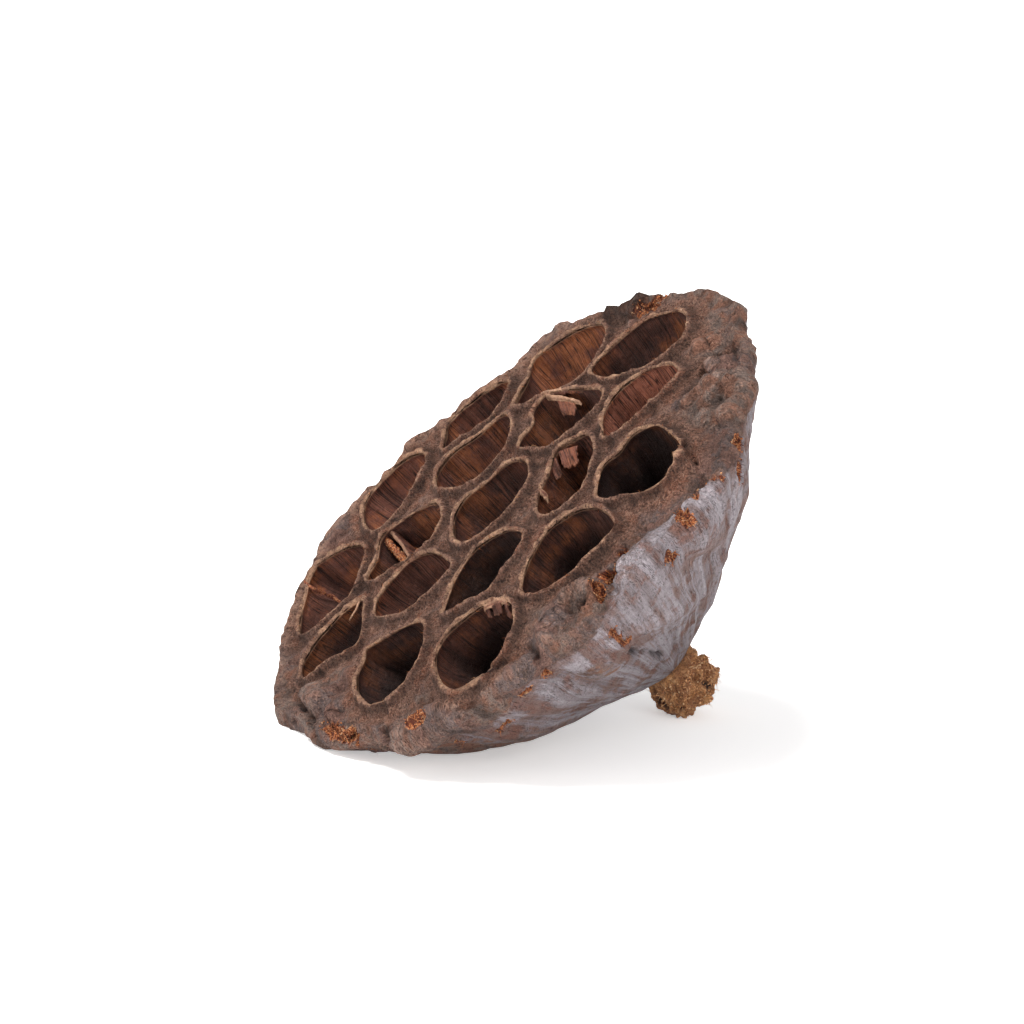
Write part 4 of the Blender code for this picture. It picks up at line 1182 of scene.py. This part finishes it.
class Recipe(Nodes):
    # a Geometry Nodes group with named inputs
    def __init__(self, name, inputs):
        super().__init__(bpy.data.node_groups.new(name, "GeometryNodeTree"))
        face = self.tree.interface
        face.new_socket("Mesh", in_out="INPUT", socket_type="NodeSocketGeometry")
        self.keys = {}
        for label, kind in inputs.items():
            made = face.new_socket(label, in_out="INPUT", socket_type="NodeSocket" + kind)
            self.keys[label] = made.identifier
        face.new_socket("Mesh", in_out="OUTPUT", socket_type="NodeSocketGeometry")
        self.inputs = self.tree.nodes.new("NodeGroupInput").outputs
        self.result = self.tree.nodes.new("NodeGroupOutput").inputs

    def given(self, label):
        return Link(self, self.inputs[label])

    def random(self, kind, low, high):
        first = {"FLOAT_VECTOR": 0, "FLOAT": 2}[kind]
        return self.node("FunctionNodeRandomValue", {"data_type": kind},
                         {first: low, first + 1: high, "Seed": self.given("Seed")}, first // 2)


bits = {
    # host, slot, mark that says where, shape, number for each square millimetre,
    # least and greatest scale of the shape in millimetres along its three axes, greatest tilt, seed
    "crumbs_pith": ("pod_skin", "pod", "pith", "crumb", 8.0,
                    (0.12, 0.12, 0.12), (0.44, 0.34, 0.28), 3.1, 5),
    "fibres_pith": ("pod_skin", "pod", "pith", "fibre", 1.6,
                    (0.7, 0.7, 0.35), (1.1, 1.1, 1.1), 1.0, 6),
    "burrs_lips": ("pod_skin", "pod", "lip", "fibre", 0.45,
                   (0.6, 0.6, 0.20), (1.0, 1.0, 0.55), 1.3, 7),
    "crumbs_flap": ("pith_l", "pod", "pith", "crumb", 7.0,
                    (0.12, 0.12, 0.12), (0.42, 0.34, 0.28), 3.1, 8),
    "crumbs_stalk": ("stalk_end", "stalk", "rough", "crumb", 2.6,
                     (0.14, 0.14, 0.14), (0.46, 0.40, 0.34), 3.1, 9),
    "fibres_stalk": ("stalk_end", "stalk", "rough", "fibre", 1.1,
                     (0.8, 0.8, 0.40), (1.3, 1.3, 1.5), 1.2, 10),
}


def bitRecipe():
    # points on the host where its mark is high, each with a randomly turned and scaled small shape
    recipe = Recipe("scatterBits", {
        "Mark": "String", "Density": "Float", "Small": "Vector", "Large": "Vector", "Tilt": "Float",
        "Seed": "Int", "Fibre": "Bool", "Finish": "Material"})
    node, given, random = recipe.node, recipe.given, recipe.random
    mark = node("GeometryNodeInputNamedAttribute", {"data_type": "FLOAT"}, {"Name": given("Mark")})
    chosen = node("FunctionNodeCompare", {"data_type": "FLOAT", "operation": "GREATER_THAN"},
                  {0: mark, 1: 0.55})
    points = node("GeometryNodeDistributePointsOnFaces", {},
                  {"Mesh": given("Mesh"), "Selection": chosen, "Density": given("Density"),
                   "Seed": given("Seed")})
    upright = Link(recipe, points.socket.node.outputs["Rotation"])

    # a lumpy grain
    ball = node("GeometryNodeMeshUVSphere", {}, {"Segments": 7, "Rings": 5, "Radius": 0.5})
    lump = node("ShaderNodeTexNoise", {}, {"Scale": 2.3, "Detail": 1.0}, "Color")
    pushed = recipe.vectors("SUBTRACT", {0: lump, 1: (0.5, 0.5, 0.5)})
    crumb = node("GeometryNodeSetPosition", {}, {"Geometry": ball, "Offset": pushed})

    # a curved fibre one unit long, thicker at its root
    rod = node("GeometryNodeMeshCone", {}, {"Vertices": 4, "Side Segments": 6, "Radius Top": 0.015,
                                            "Radius Bottom": 0.055, "Depth": 1.0})
    place = node("GeometryNodeInputPosition", {}, {})
    height = node("ShaderNodeSeparateXYZ", {}, {0: place}, "Z")
    bend = node("ShaderNodeCombineXYZ", {}, {"X": height * height * 0.45,
                                             "Y": height.maths("SINE", height * 5.0) * 0.10})
    fibre = node("GeometryNodeSetPosition", {}, {"Geometry": rod, "Offset": bend})

    shape = node("GeometryNodeSwitch", {"input_type": "GEOMETRY"},
                 {"Switch": given("Fibre"), "False": crumb, "True": fibre})
    angles = random("FLOAT_VECTOR", (-1, -1, -1), (1, 1, 1))
    swing = recipe.vectors("SCALE", {0: angles, "Scale": given("Tilt")})
    turned = node("FunctionNodeRotateRotation", {"rotation_space": "LOCAL"},
                  {0: upright, 1: node("FunctionNodeEulerToRotation", {}, {0: swing})})
    scale = random("FLOAT_VECTOR", given("Small"), given("Large"))
    placed = node("GeometryNodeInstanceOnPoints", {},
                  {"Points": points, "Instance": shape, "Rotation": turned, "Scale": scale})
    tinted = node("GeometryNodeStoreNamedAttribute", {"data_type": "FLOAT", "domain": "INSTANCE"},
                  {"Geometry": placed, "Name": "tint", "Value": random("FLOAT", 0.0, 1.0)})
    real = node("GeometryNodeRealizeInstances", {}, {"Geometry": tinted})
    smooth = node("GeometryNodeSetShadeSmooth", {}, {"Geometry": real})
    done = node("GeometryNodeSetMaterial", {}, {"Geometry": smooth, "Material": given("Finish")})
    recipe.join(recipe.result["Mesh"], done)
    return recipe


bitColours = {
    "pod": {"usual": (0.44, 0.15, 0.05), "deep": (0.13, 0.04, 0.02), "pale": (0.50, 0.27, 0.14)},
    "stalk": {"usual": (0.66, 0.32, 0.14), "deep": (0.30, 0.125, 0.055),
              "pale": (0.78, 0.50, 0.28)},
}


def bitFinish(slot):
    finish = Finish(slot + "Bits", bitColours[slot])
    tint = finish.mark("tint")
    fine = finish.noise(finish.node("ShaderNodeTexCoord", {}, {}, "Object"), 3000.0, 3, 0.7)
    return finish.surface({
        "Base Color": finish.coats("deep", (finish.between(tint, 0.15, 0.55), "usual"),
                                   (finish.between(tint, 0.70, 0.95), "pale"),
                                   (fine, 0.55, 0.75, 0.6, "deep")),
        "Roughness": 0.75 + 0.2 * fine,
        "Normal": finish.relief((fine, 0.0002), strength=0.8)})


recipe = bitRecipe()
bitFinishes = {slot: bitFinish(slot) for slot in bitColours}
for name, (host, slot, mark, shape, density, small, large, tilt, seed) in bits.items():
    carrier = addObject(name + "_host", bpy.data.objects[host].data)
    live = carrier.modifiers.new("scatter", "NODES")
    live.node_group = recipe.tree
    settings = {"Mark": mark, "Density": density / mm ** 2, "Tilt": tilt, "Seed": seed,
                "Small": tuple(mm * v for v in small), "Large": tuple(mm * v for v in large),
                "Fibre": shape == "fibre", "Finish": bitFinishes[slot]}
    for label, value in settings.items():
        live[recipe.keys[label]] = value
    grown = carrier.evaluated_get(bpy.context.evaluated_depsgraph_get())
    made = bpy.data.meshes.new_from_object(grown)
    carrier.modifiers.clear()
    bpy.data.objects.remove(carrier, do_unlink=True)
    piece = addObject(name, made)
    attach(piece, "root")
    print(name, "made,", len(made.polygons), "faces")
